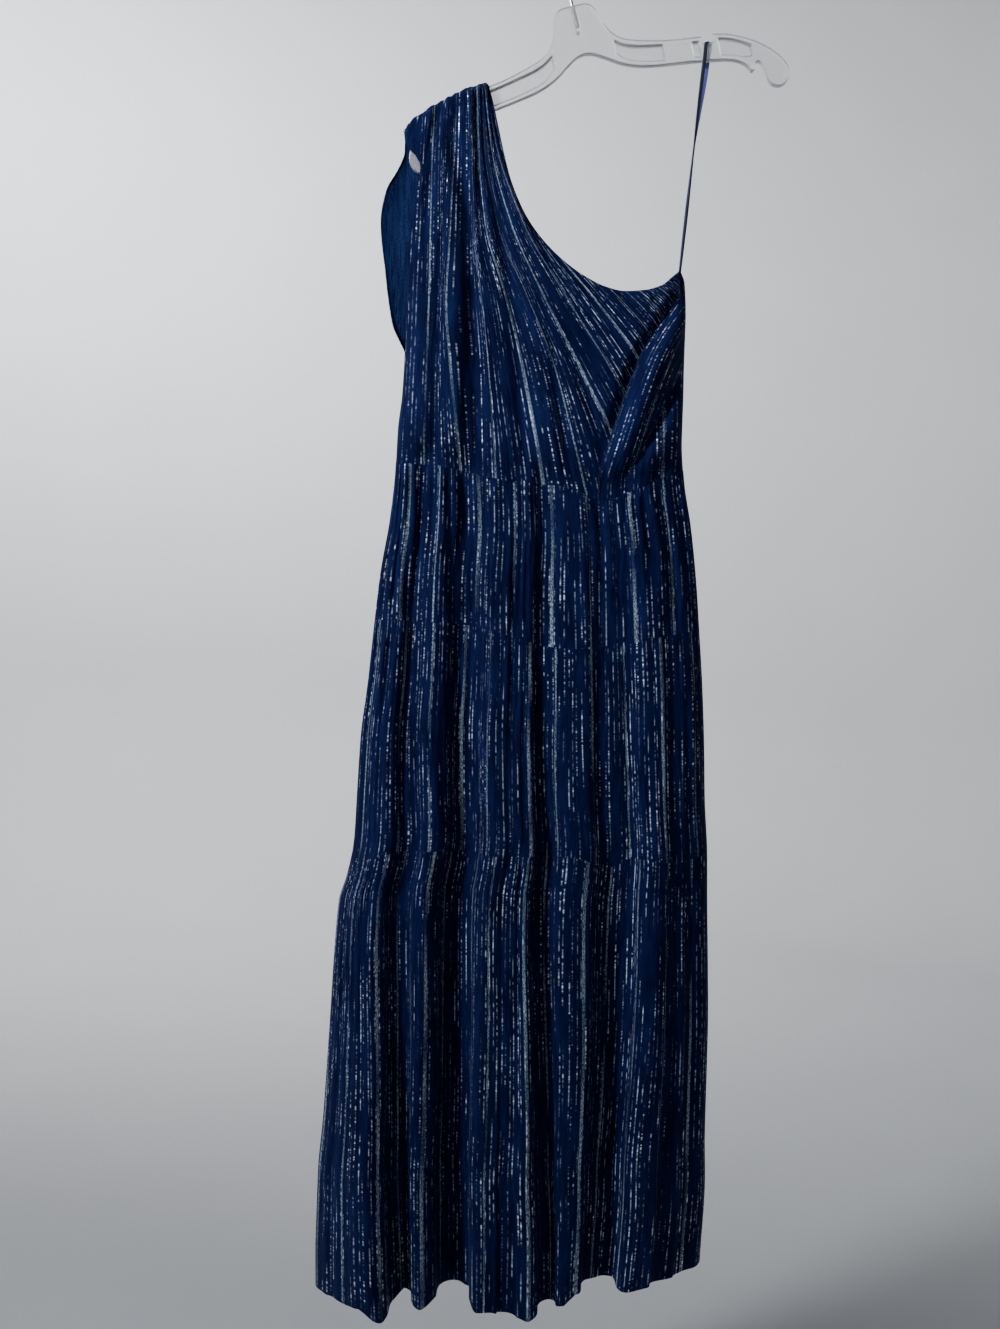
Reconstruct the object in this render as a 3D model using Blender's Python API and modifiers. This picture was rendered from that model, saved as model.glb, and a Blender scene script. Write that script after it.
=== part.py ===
"""A one-shoulder tiered maxi dress, hanging by its hook on a clear plastic hanger.

The front of the dress faces -Y. Lengths in this file are in millimetres and become
metres when a vertex is placed. Heights are given as a drop below the origin, which is
the point inside the hook's bend where a rail carries the hanger.
"""

import math

import bmesh
import bpy
import numpy as np
from mathutils import Matrix

MM = 0.001

# Cloth and seams
WALL = 1.4
SEAM_GAP = 0.3
SEAM_HALF_GAP = SEAM_GAP / 2

# Grid of each cloth panel: cells across, and the distances below its top seam
SKIRT_COLUMNS = 64
BODICE_FRONT_COLUMNS = 60
BODICE_BACK_COLUMNS = 46
BODICE_ROWS = (0, 0.006, 0.022, 0.07, 0.14, 0.24, 0.36, 0.49, 0.62, 0.74, 0.85, 0.94, 1)
TIER_ROWS = {
    1: (0, 0.09, 0.4, 1),
    2: (0, 0.07, 0.28, 0.62, 1),
    3: (0, 0.035, 0.14, 0.33, 0.55, 0.78, 1),
}

# Side seams of the dress: drop, left x, right x
SIDES = (
    (358, -157, 143.6),
    (372, -157, 149),
    (416, -157, 151.6),
    (459, -157.3, 151.5),
    (505, -158.5, 152),
    (545, -162, 152),
    (590, -163, 155.5),
    (643, -167, 165),
    (704, -175.5, 173),
    (756, -180, 178),
    (824, -185, 184),
    (887, -191, 188),
    (942, -192.6, 190.5),
    (998, -194, 195),
    (1039, -201, 196.5),
    (1066, -208.5, 197.5),
    (1122, -211.6, 200),
    (1197, -213.7, 202.5),
    (1306, -217.5, 203),
    (1365, -221, 205),
    (1433, -221, 202.5),
    (1495, -219, 200),
)

# Drop of each horizontal seam at shares of the width, from the left side to the right
SEAM_SHARES = (0, 0.12, 0.25, 0.4, 0.5, 0.62, 0.72, 0.8, 0.9, 1)
FRONT_SEAMS = {
    "waist": (585, 586, 593, 602, 604, 609, 619, 611, 594, 583),
    "tier_1": (756, 757, 758, 768, 778, 781, 779, 772, 763, 755),
    "tier_2": (1024, 1008, 1003, 1005, 1005, 1004, 1016, 1004, 1007, 998),
    "hem": (1488, 1488, 1484, 1483, 1483, 1477, 1470, 1463, 1455, 1446),
}
BACK_SEAMS = {
    "waist": (585, 587, 590, 593, 594, 594, 593, 590, 586, 583),
    "tier_1": (756, 758, 761, 764, 765, 765, 763, 761, 758, 755),
    "tier_2": (1024, 1012, 1008, 1006, 1005, 1004, 1003, 1002, 1000, 998),
    "hem": (1488, 1488, 1486, 1483, 1480, 1475, 1469, 1463, 1455, 1446),
}
SEAM_ORDER = ("waist", "tier_1", "tier_2", "hem")

# How far the front and back stand out from the side seams at each horizontal seam
FRONT_DEPTH = (26, 30, 38, 46)
BACK_DEPTH = (16, 18, 24, 30)

# Long folds of the skirt: share of the width, then height outwards, at the four seams
FRONT_FOLDS = (
    ("left ridge", 0.045, 0.07, 0.09, 0.150, 2, 5, 12, 32),
    ("left valley", 0.110, 0.13, 0.17, 0.235, -2, -4, -6, -10),
    ("small ridge", 0.167, 0.194, 0.23, 0.277, 3, 6, 9, 12),
    ("deep valley", 0.260, 0.287, 0.315, 0.360, -6, -11, -18, -30),
    ("middle ridge", 0.370, 0.388, 0.412, 0.445, 4, 8, 14, 30),
    ("middle dip", 0.430, 0.440, 0.463, 0.498, 1, 4, 9, 22),
    ("middle edge", 0.463, 0.470, 0.494, 0.548, 3, 6, 12, 34),
    ("narrow valley", 0.505, 0.510, 0.535, 0.600, -4, -8, -14, 6),
    ("low ridge", 0.600, 0.605, 0.620, 0.640, 2, 4, 8, 15),
    ("right valley", 0.745, 0.740, 0.752, 0.730, -3, -7, -13, -22),
    ("right ridge", 0.850, 0.845, 0.850, 0.815, 3, 7, 14, 25),
    ("right dip", 0.915, 0.910, 0.905, 0.890, 0, 2, 6, 10),
    ("right edge", 0.960, 0.955, 0.950, 0.945, 1, 2, 3, 2),
)
BACK_FOLDS = (
    ("first ridge", 0.07, 0.08, 0.09, 0.10, 1, 3, 8, 16),
    ("first valley", 0.15, 0.16, 0.17, 0.18, -1, -3, -7, -12),
    ("second ridge", 0.24, 0.25, 0.26, 0.27, 2, 4, 9, 17),
    ("second valley", 0.33, 0.34, 0.34, 0.35, -2, -4, -8, -13),
    ("third ridge", 0.41, 0.42, 0.43, 0.44, 2, 4, 8, 15),
    ("third valley", 0.49, 0.50, 0.51, 0.52, -2, -3, -6, -11),
    ("fourth ridge", 0.58, 0.59, 0.60, 0.61, 2, 5, 10, 18),
    ("fourth valley", 0.67, 0.68, 0.69, 0.70, -2, -4, -8, -13),
    ("fifth ridge", 0.76, 0.77, 0.78, 0.79, 1, 3, 8, 15),
    ("fifth valley", 0.84, 0.85, 0.86, 0.87, -1, -3, -7, -11),
    ("last ridge", 0.92, 0.92, 0.93, 0.93, 1, 2, 5, 9),
)
FOLD_OVERHANG = (0.15, 0.4, 0.7, 1.0)

# Gathers: each tier is drawn up into the seam above it
GATHERS = 16
GATHER_HEIGHT = 2.3
GATHER_START = 7
GATHER_REACH = 55

# Bodice: its top edge runs up the shoulder seam and then down the neckline.
# share of the panel's width, x, drop
SHOULDER_SHARE = 0.5
BODICE_TOP = (
    (0.00, -167, 214.5),
    (0.08, -158.5, 203.5),
    (0.16, -144, 193),
    (0.25, -128, 183),
    (0.33, -113, 174.5),
    (0.39, -100, 167.5),
    (0.45, -88, 163.2),
    (SHOULDER_SHARE, -77, 159.8),
    (0.507, -75.6, 162.6),
    (0.517, -73, 171),
    (0.530, -69.3, 183),
    (0.548, -64.4, 202),
    (0.571, -56.8, 233),
    (0.600, -47.4, 266),
    (0.640, -27.5, 309),
    (0.685, 2, 345),
    (0.740, 36, 371),
    (0.785, 61, 383),
    (0.825, 80, 387),
    (0.870, 102, 385),
    (0.915, 120, 378.5),
    (0.950, 130, 369),
    (1.000, 143.6, 358),
)
BACK_NECKLINE_LOWER = 4

# Armhole edges: drop, x of the front edge, x of the back edge
ARMHOLE = (
    (214.5, -167, -167),
    (225, -165, -166),
    (236, -160, -166),
    (246, -151, -169),
    (257, -146.5, -174),
    (278, -148, -185),
    (310, -152.5, -190),
    (369, -155, -183),
    (426, -156, -173),
    (459, -157.3, -157.3),
)
UNDERARM_DROP = 459
ARMHOLE_BLEND = 0.35
SIDE_BLEND = 0.3

# Bodice depth away from the side seams: drop, front, back
BODICE_DEPTH = (
    (150, 12, 12),
    (230, 11, 11),
    (300, 15, 12),
    (400, 22, 15),
    (500, 28, 17),
    (560, 32, 19),
    (584, 30, 17),
    (604, 26, 16),
    (640, 26, 16),
)
SEAM_ROUND = 9
NECK_CROWDING = 1.25
EDGE_ROUND = 60
SIDE_ROUND = 42
EDGE_SHARE = 0.6

# Shoulder pleats, and the puckers above the waist seam
PLEATS = 8
PLEAT_HEIGHT = 2.2
PLEAT_REACH = 140
LONG_PLEATS = 4
LONG_PLEAT_HEIGHT = 2.0
PUCKERS = 14
PUCKER_HEIGHT = 1.2
PUCKER_REACH = 30

# Drape folds of the bodice, each a soft line through three points:
# x and drop at its top, middle and foot, width, height outwards
FRONT_DRAPES = (
    ("upper crease", 142, 388, 100, 462, 60, 590, 9, -7),
    ("roll of cloth", 150, 415, 114, 486, 74, 598, 13, 9),
    ("lower crease", 153, 462, 124, 526, 88, 604, 9, -9),
    ("shoulder valley", -116, 215, -90, 330, -81, 590, 9, -5),
    ("side valley", -140, 225, -136, 380, -134, 590, 8, -3),
    ("centre valley", -70, 260, -38, 400, -12, 600, 14, -3),
    ("centre roll", -52, 260, -8, 400, 22, 600, 16, 4),
)
BACK_DRAPES = (
    ("upper crease", 140, 400, 96, 480, 50, 590, 12, -4),
    ("roll of cloth", 148, 430, 108, 505, 68, 592, 14, 4),
    ("shoulder valley", -112, 215, -92, 340, -86, 588, 10, -3),
)
DRAPE_FADE = 45

# Hanger, in its own upright frame: x outwards from the middle, z above the tips
HANGER_TILT = math.radians(15.8)
HOOK_CENTRE_Z = 181
HOOK_INNER_RADIUS = 20
WIRE_RADIUS = 1.8
HANGER_THICK = 7
WEB_RECESS = 2.2
HANGER_TOP = (
    (0, 128),
    (13, 127.8),
    (20, 124),
    (25, 114),
    (29, 101),
    (36, 88.5),
    (47, 79.5),
    (70, 72),
    (98, 65.7),
    (129.5, 61.6),
)
STRAP_NOTCH = ((130.1, 53.6), (131, 52.6), (141, 52.6), (141.9, 53.6))
HANGER_TIP = (
    (142, 61.4),
    (156, 58.3),
    (170, 52.5),
    (188, 42),
    (202, 29.5),
    (212, 16),
    (216, 4),
    (213, -6),
    (205, -12),
    (196, -10.5),
    (190.5, -3),
    (189, 8),
    (187, 17),
    (183.5, 20),
    (180.5, 17),
    (178.5, 11.5),
    (174, 11.5),
    (171, 18),
    (163, 25),
)
HANGER_UNDER = (
    (150, 30),
    (117, 36),
    (84, 40.5),
    (57, 45.5),
    (37, 53.5),
    (21, 64),
    (9, 71),
    (0, 73),
)

# Thinner web between the rims of each arm: x, upper z, lower z. The right arm keeps a
# blank plate and the strap notch solid, the left arm only the notch.
WEB = (
    (35, 80, 66),
    (41, 75, 59),
    (50, 70.5, 54),
    (62, 67, 50.2),
    (84, 63, 45.8),
    (100, 60, 43.5),
    (126, 56.5, 39.8),
    (147, 55, 36.6),
    (160, 51, 33),
    (172, 45.5, 28.5),
    (181, 39, 28),
)
WEB_SPANS = ((35, 86), (118, 126), (147, 181), (-126, -35), (-181, -147))
BOSS_RADIUS = 4.4
BOSS_BOTTOM = 98
BORE_RADIUS = 2.15
BORE_BOTTOM = 103
STEM_BOTTOM = 103.4

# Hanging loop, from the right underarm over the hanger's strap notch
LOOP_WIDTH = 4.2
LOOP_THICK = 1
LOOP_NOTCH_X = 136
LOOP_SPREAD = 2.3
LOOP_FOOT = (144.2, 356.4)
LOOP_FOOT_DEPTH = 1.3
LOOP_POINTS = 9
# Bend over the notch: share of the spread, share of the way to each face, drop
LOOP_CROWN = (
    (-1, -1, 1.6),
    (-0.7, -0.88, 0),
    (0, 0, 0),
    (0.7, 0.88, 0),
    (1, 1, 1.6),
)

CLEAR_PLASTIC = ("clear_plastic", (0.86, 0.89, 0.90), 0.12, 0)
WIRE_STEEL = ("wire_steel", (0.55, 0.55, 0.57), 0.28, 1)
NAVY_CLOTH = ("navy_cloth", (0.012, 0.030, 0.105), 0.75, 0)
NAVY_RIBBON = ("navy_ribbon", (0.02, 0.03, 0.13), 0.5, 0)


def through(keys, values, at):
    """A smooth line through values at rising keys, with no overshoot, read at `at`."""
    keys = np.asarray(keys, float)
    values = np.asarray(values, float)
    step = np.diff(keys)
    slope = np.diff(values) / step
    before, after = slope[:-1], slope[1:]
    total = np.where(before * after > 0, before + after, 1)
    inner = np.where(before * after > 0, 2 * before * after / total, 0)
    tangent = np.concatenate([slope[:1], inner, slope[-1:]])
    at = np.clip(at, keys[0], keys[-1])
    k = np.clip(np.searchsorted(keys, at) - 1, 0, len(step) - 1)
    t = (at - keys[k]) / step[k]
    rise = values[k + 1] - values[k]
    ends = values[k] + rise * t * t * (3 - 2 * t)
    lean = step[k] * t * (1 - t) * (tangent[k] * (1 - t) - tangent[k + 1] * t)
    return ends + lean


def column(table, number):
    """One column of a table, as an array."""
    return np.array([row[number] for row in table], float)


def read(table, number, at):
    """A column of a table whose first column is its key, read smoothly at `at`."""
    return through(column(table, 0), column(table, number), at)


def rounded(distance, radius):
    """Rises from 0 to 1 over the radius, as the side of a rounded edge does."""
    share = np.clip(distance / radius, 0, 1)
    return np.sqrt(1 - (1 - share) ** 2)


def eased(share):
    """A smooth step from 0 to 1."""
    share = np.clip(share, 0, 1)
    return share * share * (3 - 2 * share)


def material(name, colour, roughness, metallic):
    made = bpy.data.materials.new(name)
    made.use_nodes = True
    shader = made.node_tree.nodes["Principled BSDF"]
    shader.inputs["Base Color"].default_value = (*colour, 1)
    shader.inputs["Roughness"].default_value = roughness
    shader.inputs["Metallic"].default_value = metallic
    return made


def show(name, mesh, finish, collection):
    """Links a mesh as a named object with its material."""
    obj = bpy.data.objects.new(name, mesh)
    collection.objects.link(obj)
    mesh.materials.clear()
    mesh.materials.append(finish)
    return obj


def cloth_panel(name, place, columns, rows, outward, sewn, finish, collection):
    """A wall of cloth on a grid: place(share across, share down) gives x, y and drop.

    The wall is cut flat along its seams: at a fixed y where front meets back, and along
    the curve that `sewn` gives for the top and bottom rows, as a function of x.
    """
    across, down = np.meshgrid(columns, np.asarray(rows, float))
    x, y, drop = place(across.ravel(), down.ravel())
    points = np.stack([x, y, -drop], axis=1) * MM
    grid = bmesh.new()
    bmesh.ops.create_grid(
        grid, x_segments=len(columns) - 1, y_segments=len(rows) - 1, size=0.5
    )
    grid.verts.sort(key=lambda v: v.co.x - 100 * v.co.y)
    for vertex, point in zip(grid.verts, points):
        vertex.co = point
    grid.normal_update()
    facing = sum(face.normal.y * face.calc_area() for face in grid.faces)
    if facing * outward < 0:
        bmesh.ops.reverse_faces(grid, faces=grid.faces)
    mesh = bpy.data.meshes.new(name)
    grid.to_mesh(mesh)
    grid.free()
    sheet = show(name, mesh, finish, collection)
    wall = sheet.modifiers.new("wall", "SOLIDIFY")
    wall.thickness = WALL * MM
    wall.offset = 0
    graph = bpy.context.evaluated_depsgraph_get()
    solid = bpy.data.meshes.new_from_object(sheet.evaluated_get(graph))
    bpy.data.objects.remove(sheet)

    at_side = np.abs(y) < SEAM_HALF_GAP + 0.01
    for number, vertex in enumerate(solid.vertices):
        origin = number % len(points)
        row = origin // len(columns)
        if at_side[origin]:
            vertex.co.y = points[origin][1]
        if row == 0 and sewn[0]:
            vertex.co.z = -sewn[0](vertex.co.x / MM) * MM
        if row == len(rows) - 1 and sewn[1]:
            vertex.co.z = -sewn[1](vertex.co.x / MM) * MM
    solid.shade_smooth()
    return show(name, solid, finish, collection)


def fold_stations(folds):
    """The folds' shares of the cloth's width, worked out from its path at the hem."""
    width = read(SIDES, 2, 1450) - read(SIDES, 1, 1450)
    share = np.concatenate([[0], column(folds, 4), [1]])
    height = np.concatenate([[0], column(folds, 8), [0]])
    path = np.hypot(np.diff(share) * width, np.diff(height))
    return np.concatenate([[0], np.cumsum(path) / path.sum()])


def folded(folds, cloth, level):
    """Share of the width and height outwards at a share of the cloth and a seam level.

    Between a ridge and the next valley the height follows half a wave, and the
    overhang turns the sides of the deep folds upright.
    """
    stations = fold_stations(folds)
    levels = np.arange(4)
    places = [through(levels, row[1:5], level) for row in folds]
    heights = [through(levels, row[5:9], level) for row in folds]
    edge = np.zeros_like(level)
    places = np.array([edge, *places, edge + 1])
    heights = np.array([edge, *heights, edge])
    k = np.clip(np.searchsorted(stations, cloth, side="right") - 1, 0, len(stations) - 2)
    t = (cloth - stations[k]) / (stations[k + 1] - stations[k])
    turn = 2 * math.pi * t
    overhang = through(levels, FOLD_OVERHANG, level)
    inside = (k > 0) & (k < len(stations) - 2)
    along = t + np.where(inside, overhang, 0) * np.sin(turn) / (2 * math.pi)
    point = np.arange(len(cloth))
    share = places[k, point] + (places[k + 1, point] - places[k, point]) * along
    blend = (1 - np.cos(math.pi * t)) / 2
    height = heights[k, point] + (heights[k + 1, point] - heights[k, point]) * blend
    return share, height


def oval(share):
    """Depth of the dress's flattened round section, from 0 at a side seam to 1."""
    return (1 - np.abs(2 * share - 1) ** 3) ** (1 / 3)


def tier_place(number, seams, folds, depth, facing):
    """Where the points of one skirt tier lie; facing is -1 for the front, 1 for the back."""
    top, bottom = SEAM_ORDER[number - 1], SEAM_ORDER[number]

    def place(cloth, down):
        level = number - 1 + down
        share, height = folded(folds, cloth, level)
        high = through(SEAM_SHARES, seams[top], share) + SEAM_HALF_GAP
        low = through(SEAM_SHARES, seams[bottom], share) - SEAM_HALF_GAP
        left_drop = seams[top][0] + (seams[bottom][0] - seams[top][0]) * down
        right_drop = seams[top][-1] + (seams[bottom][-1] - seams[top][-1]) * down
        left = read(SIDES, 1, left_drop)
        right = read(SIDES, 2, right_drop)
        below = (low - high) * down
        gather = (1 - np.exp(-below / GATHER_START)) * np.exp(-below / GATHER_REACH)
        ripple = np.cos(2 * math.pi * GATHERS * cloth) * GATHER_HEIGHT * gather
        ends = rounded(np.minimum(cloth, 1 - cloth), 0.05)
        outward = through(np.arange(4), depth, level) * oval(share) + height
        y = facing * (SEAM_HALF_GAP + outward + ripple * ends)
        return left + share * (right - left), y, high + below

    return place


def seam_drop(seams, name, x):
    """Drop of a horizontal seam at x."""
    left = read(SIDES, 1, seams[name][0])
    right = read(SIDES, 2, seams[name][-1])
    return through(SEAM_SHARES, seams[name], (x - left) / (right - left))


def drape_height(drapes, x, drop):
    """Height outwards that the bodice's drape folds add at a point."""
    total = np.zeros_like(x)
    for _, x0, d0, x1, d1, x2, d2, width, height in drapes:
        line = through((d0, d1, d2), (x0, x1, x2), drop)
        start = eased((drop - d0) / DRAPE_FADE + 0.5)
        end = eased((d2 - drop) / DRAPE_FADE + 0.3)
        total += height * start * end * np.exp(-(((x - line) / width) ** 2))
    return total


def bodice_place(facing, drapes, seams):
    """Where the points of the bodice's front (facing -1) or back (facing 1) lie."""
    front = facing < 0

    def place(across, down):
        top_x = read(BODICE_TOP, 1, across)
        top_drop = read(BODICE_TOP, 2, across)
        if not front:
            lower = np.sin(math.pi * np.clip((across - SHOULDER_SHARE) / (1 - SHOULDER_SHARE), 0, 1))
            top_drop = top_drop + BACK_NECKLINE_LOWER * lower
        foot_drop = through(SEAM_SHARES, seams["waist"], across) - SEAM_HALF_GAP
        foot_left = read(SIDES, 1, seams["waist"][0])
        foot_right = read(SIDES, 2, seams["waist"][-1])
        foot_x = foot_left + across * (foot_right - foot_left)
        length = foot_drop - top_drop
        drop = top_drop + length * down
        x = top_x + (foot_x - top_x) * down

        left_line = BODICE_TOP[0][1] + (foot_left - BODICE_TOP[0][1]) * down
        edge = read(ARMHOLE, 1 if front else 2, drop)
        left = np.where(drop < UNDERARM_DROP, edge, read(SIDES, 1, drop))
        near_left = np.clip(1 - across / ARMHOLE_BLEND, 0, 1) ** 2
        x = x + (left - left_line) * near_left
        right_line = BODICE_TOP[-1][1] + (foot_right - BODICE_TOP[-1][1]) * down
        right = read(SIDES, 2, drop)
        near_right = np.clip((across - 1 + SIDE_BLEND) / SIDE_BLEND, 0, 1) ** 2
        x = x + (right - right_line) * near_right

        neck = np.clip((across - SHOULDER_SHARE) / (1 - SHOULDER_SHARE), 0, 1)
        past_shoulder = np.where(neck > 0, top_drop - BODICE_TOP[7][2], 0)
        open_neck = EDGE_SHARE * rounded(past_shoulder, 6) * rounded(1 - neck, 0.2)
        open_arm = EDGE_SHARE * eased((UNDERARM_DROP - drop) / 60) * eased(down / 0.02)
        from_top = length * down
        seam_rise = rounded(from_top, np.where(across < SHOULDER_SHARE, SEAM_ROUND, EDGE_ROUND))
        top_rise = open_neck + (1 - open_neck) * seam_rise
        left_rise = open_arm + (1 - open_arm) * rounded(x - left, SIDE_ROUND)
        right_rise = rounded(np.where(neck > 0, right - x, SIDE_ROUND), SIDE_ROUND)
        depth = read(BODICE_DEPTH, 1 if front else 2, drop)
        rise = top_rise * left_rise * right_rise

        on_shoulder = 1 - eased((across - SHOULDER_SHARE) / 0.08)
        soft_ends = eased((x - left) / 16) * eased((right - x) / 16)
        settle = rounded(from_top, SEAM_ROUND)
        pleat = np.cos(2 * math.pi * PLEATS * across / SHOULDER_SHARE)
        pleat = pleat * PLEAT_HEIGHT * np.exp(-from_top / PLEAT_REACH) * on_shoulder
        long_pleat = np.cos(2 * math.pi * LONG_PLEATS * across / SHOULDER_SHARE + 1)
        long_pleat = long_pleat * LONG_PLEAT_HEIGHT * on_shoulder * eased(from_top / 120)
        above = foot_drop - drop
        pucker = np.cos(2 * math.pi * PUCKERS * across) * PUCKER_HEIGHT
        pucker = pucker * (1 - np.exp(-above / GATHER_START)) * np.exp(-above / PUCKER_REACH)
        to_waist = eased(above / 40)
        waves = (pleat + long_pleat * to_waist + pucker) * soft_ends * settle
        drape = drape_height(drapes, x, drop) * to_waist * rounded(from_top, 40)
        drape = drape * rounded(right - x, 25) * rounded(x - left, 25)
        y = facing * (SEAM_HALF_GAP + depth * rise + waves + drape)
        return x, y, drop

    return place


def hang(mesh):
    """Tilts the upright hanger frame about the hook's bend and hangs it at the origin."""
    lift = Matrix.Translation((0, 0, -HOOK_CENTRE_Z * MM))
    turn = Matrix.Rotation(-HANGER_TILT, 4, "Y")
    drop = Matrix.Translation((0, 0, -HOOK_INNER_RADIUS * MM))
    mesh.transform(drop @ turn @ lift)


def hung(x, z):
    """World x and z, in millimetres, of a point of the upright hanger frame."""
    sine, cosine = math.sin(HANGER_TILT), math.cos(HANGER_TILT)
    z = z - HOOK_CENTRE_Z
    return x * cosine - z * sine, x * sine + z * cosine - HOOK_INNER_RADIUS


def hanger_outline():
    """The hanger's outline, round from the middle of the top by the right arm and back."""
    half = HANGER_TOP + STRAP_NOTCH + HANGER_TIP + HANGER_UNDER
    return list(half) + [(-x, z) for x, z in reversed(half) if x > 0]


def bodice_columns(count):
    """Shares of the bodice's width, closer together where the neckline is steep."""
    half = np.linspace(0, 1, count // 2 + 1)
    neck = SHOULDER_SHARE + (1 - SHOULDER_SHARE) * half[1:] ** NECK_CROWDING
    return np.concatenate([SHOULDER_SHARE * half, neck])


def cutter(name, shape, collection):
    """Hangs a Boolean's other half in the hanger's frame, as wire that isn't rendered."""
    mesh = bpy.data.meshes.new(name)
    shape.to_mesh(mesh)
    shape.free()
    hang(mesh)
    obj = bpy.data.objects.new(name, mesh)
    collection.objects.link(obj)
    obj.hide_render = True
    obj.display_type = "WIRE"
    return obj


def cylinder(name, radius, low, high, sides, collection):
    """An upright cylinder on the hub's axis, in the hanger's frame."""
    shape = bmesh.new()
    size = radius * MM
    tall = (high - low) * MM
    bmesh.ops.create_cone(
        shape, cap_ends=True, segments=sides, radius1=size, radius2=size, depth=tall
    )
    bmesh.ops.translate(shape, verts=shape.verts, vec=(0, 0, (high + low) / 2 * MM))
    return cutter(name, shape, collection)


def slab(shape, outline, near, far):
    """Adds an outline of x and z, made solid between two values of y, to a shape."""
    face = shape.faces.new([shape.verts.new((x * MM, near * MM, z * MM)) for x, z in outline])
    solid = bmesh.ops.extrude_face_region(shape, geom=[face])
    moved = [item for item in solid["geom"] if isinstance(item, bmesh.types.BMVert)]
    bmesh.ops.translate(shape, verts=moved, vec=(0, (far - near) * MM, 0))
    bmesh.ops.recalc_face_normals(shape, faces=shape.faces)


def web_outline(start, end):
    """The outline of one recessed span of an arm; x below 0 is the left arm."""
    side = 1 if start > 0 else -1
    near, far = sorted((abs(start), abs(end)))
    stations = [near] + [row[0] for row in WEB if near < row[0] < far] + [far]
    upper = [(side * x, np.interp(x, column(WEB, 0), column(WEB, 1))) for x in stations]
    lower = [(side * x, np.interp(x, column(WEB, 0), column(WEB, 2))) for x in stations]
    return upper + lower[::-1]


def build_hanger(finish, collection, cutters):
    """A flat arched body with a raised rim round a thinner web, and a boss for the hook."""
    half = HANGER_THICK / 2
    body = bmesh.new()
    slab(body, hanger_outline(), -half, half)
    mesh = bpy.data.meshes.new("hanger_body")
    body.to_mesh(mesh)
    body.free()
    hang(mesh)
    obj = show("hanger_body", mesh, finish, collection)
    recesses = bmesh.new()
    for side in (-1, 1):
        for start, end in WEB_SPANS:
            floor = side * (half - WEB_RECESS)
            slab(recesses, web_outline(start, end), floor, side * (half + 2))
    web = cutter("web_recesses", recesses, cutters)
    boss = cylinder("hub_boss", BOSS_RADIUS, BOSS_BOTTOM, HANGER_TOP[0][1] - 0.5, 16, cutters)
    bore = cylinder("hub_bore", BORE_RADIUS, BORE_BOTTOM, HANGER_TOP[0][1] + 5, 12, cutters)
    steps = (("web", "DIFFERENCE", web), ("boss", "UNION", boss), ("bore", "DIFFERENCE", bore))
    for label, operation, other in steps:
        step = obj.modifiers.new(label, "BOOLEAN")
        step.operation = operation
        step.object = other
    return obj


def build_hook(finish, collection):
    """The wire hook: a stem in the hub's bore and a bend that goes over the rail."""
    radius = HOOK_INNER_RADIUS + WIRE_RADIUS
    stem = [(0, STEM_BOTTOM), (0, 120), (0, 138), (0.4, 146), (4, 153.5), (10, 159.5)]
    bend = []
    for step in range(20):
        angle = math.radians(-42 + step * 13.2)
        bend.append((radius * math.cos(angle), HOOK_CENTRE_Z + radius * math.sin(angle)))
    tail = [(-23.6, 171.5)]
    points = stem + bend + tail
    curve = bpy.data.curves.new("hook_wire", "CURVE")
    curve.dimensions = "3D"
    curve.bevel_depth = WIRE_RADIUS * MM
    curve.bevel_resolution = 2
    curve.use_fill_caps = True
    line = curve.splines.new("POLY")
    line.points.add(len(points) - 1)
    for point, (x, z) in zip(line.points, points):
        point.co = (x * MM, 0, z * MM, 1)
    wire = bpy.data.objects.new("hook_wire", curve)
    collection.objects.link(wire)
    graph = bpy.context.evaluated_depsgraph_get()
    mesh = bpy.data.meshes.new_from_object(wire.evaluated_get(graph))
    bpy.data.objects.remove(wire)
    capped = bmesh.new()
    capped.from_mesh(mesh)
    bmesh.ops.remove_doubles(capped, verts=capped.verts, dist=0.01 * MM)
    bmesh.ops.recalc_face_normals(capped, faces=capped.faces)
    capped.to_mesh(mesh)
    capped.free()
    hang(mesh)
    mesh.shade_smooth()
    return show("hanger_hook", mesh, finish, collection)


def loop_path():
    """Middle line of the hanging loop: x, y and drop, up the front and down the back."""
    notch_x, notch_z = hung(LOOP_NOTCH_X, STRAP_NOTCH[1][1])
    slope = math.tan(HANGER_TILT)
    beside = HANGER_THICK / 2 + 2 * SEAM_GAP + LOOP_THICK / 2
    crown = -(notch_z + SEAM_GAP + LOOP_THICK / 2)
    over = []
    for along, y, below in LOOP_CROWN:
        x = notch_x + along * LOOP_SPREAD
        over.append((x, y * beside, crown + below - along * LOOP_SPREAD * slope))
    strand = []
    for step in range(LOOP_POINTS - 1):
        share = step / (LOOP_POINTS - 1)
        x = LOOP_FOOT[0] + (over[0][0] - LOOP_FOOT[0]) * share
        y = LOOP_FOOT_DEPTH + (beside - LOOP_FOOT_DEPTH) * eased(share * 1.2)
        strand.append((x, float(y), LOOP_FOOT[1] + (over[0][2] - LOOP_FOOT[1]) * share))
    front = [(x, -y, drop) for x, y, drop in strand]
    spread = over[-1][0] - over[0][0]
    back = []
    for step in range(LOOP_POINTS - 2, -1, -1):
        x, y, drop = strand[step]
        back.append((x + spread * step / (LOOP_POINTS - 1), y, drop))
    return front + over + back


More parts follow.
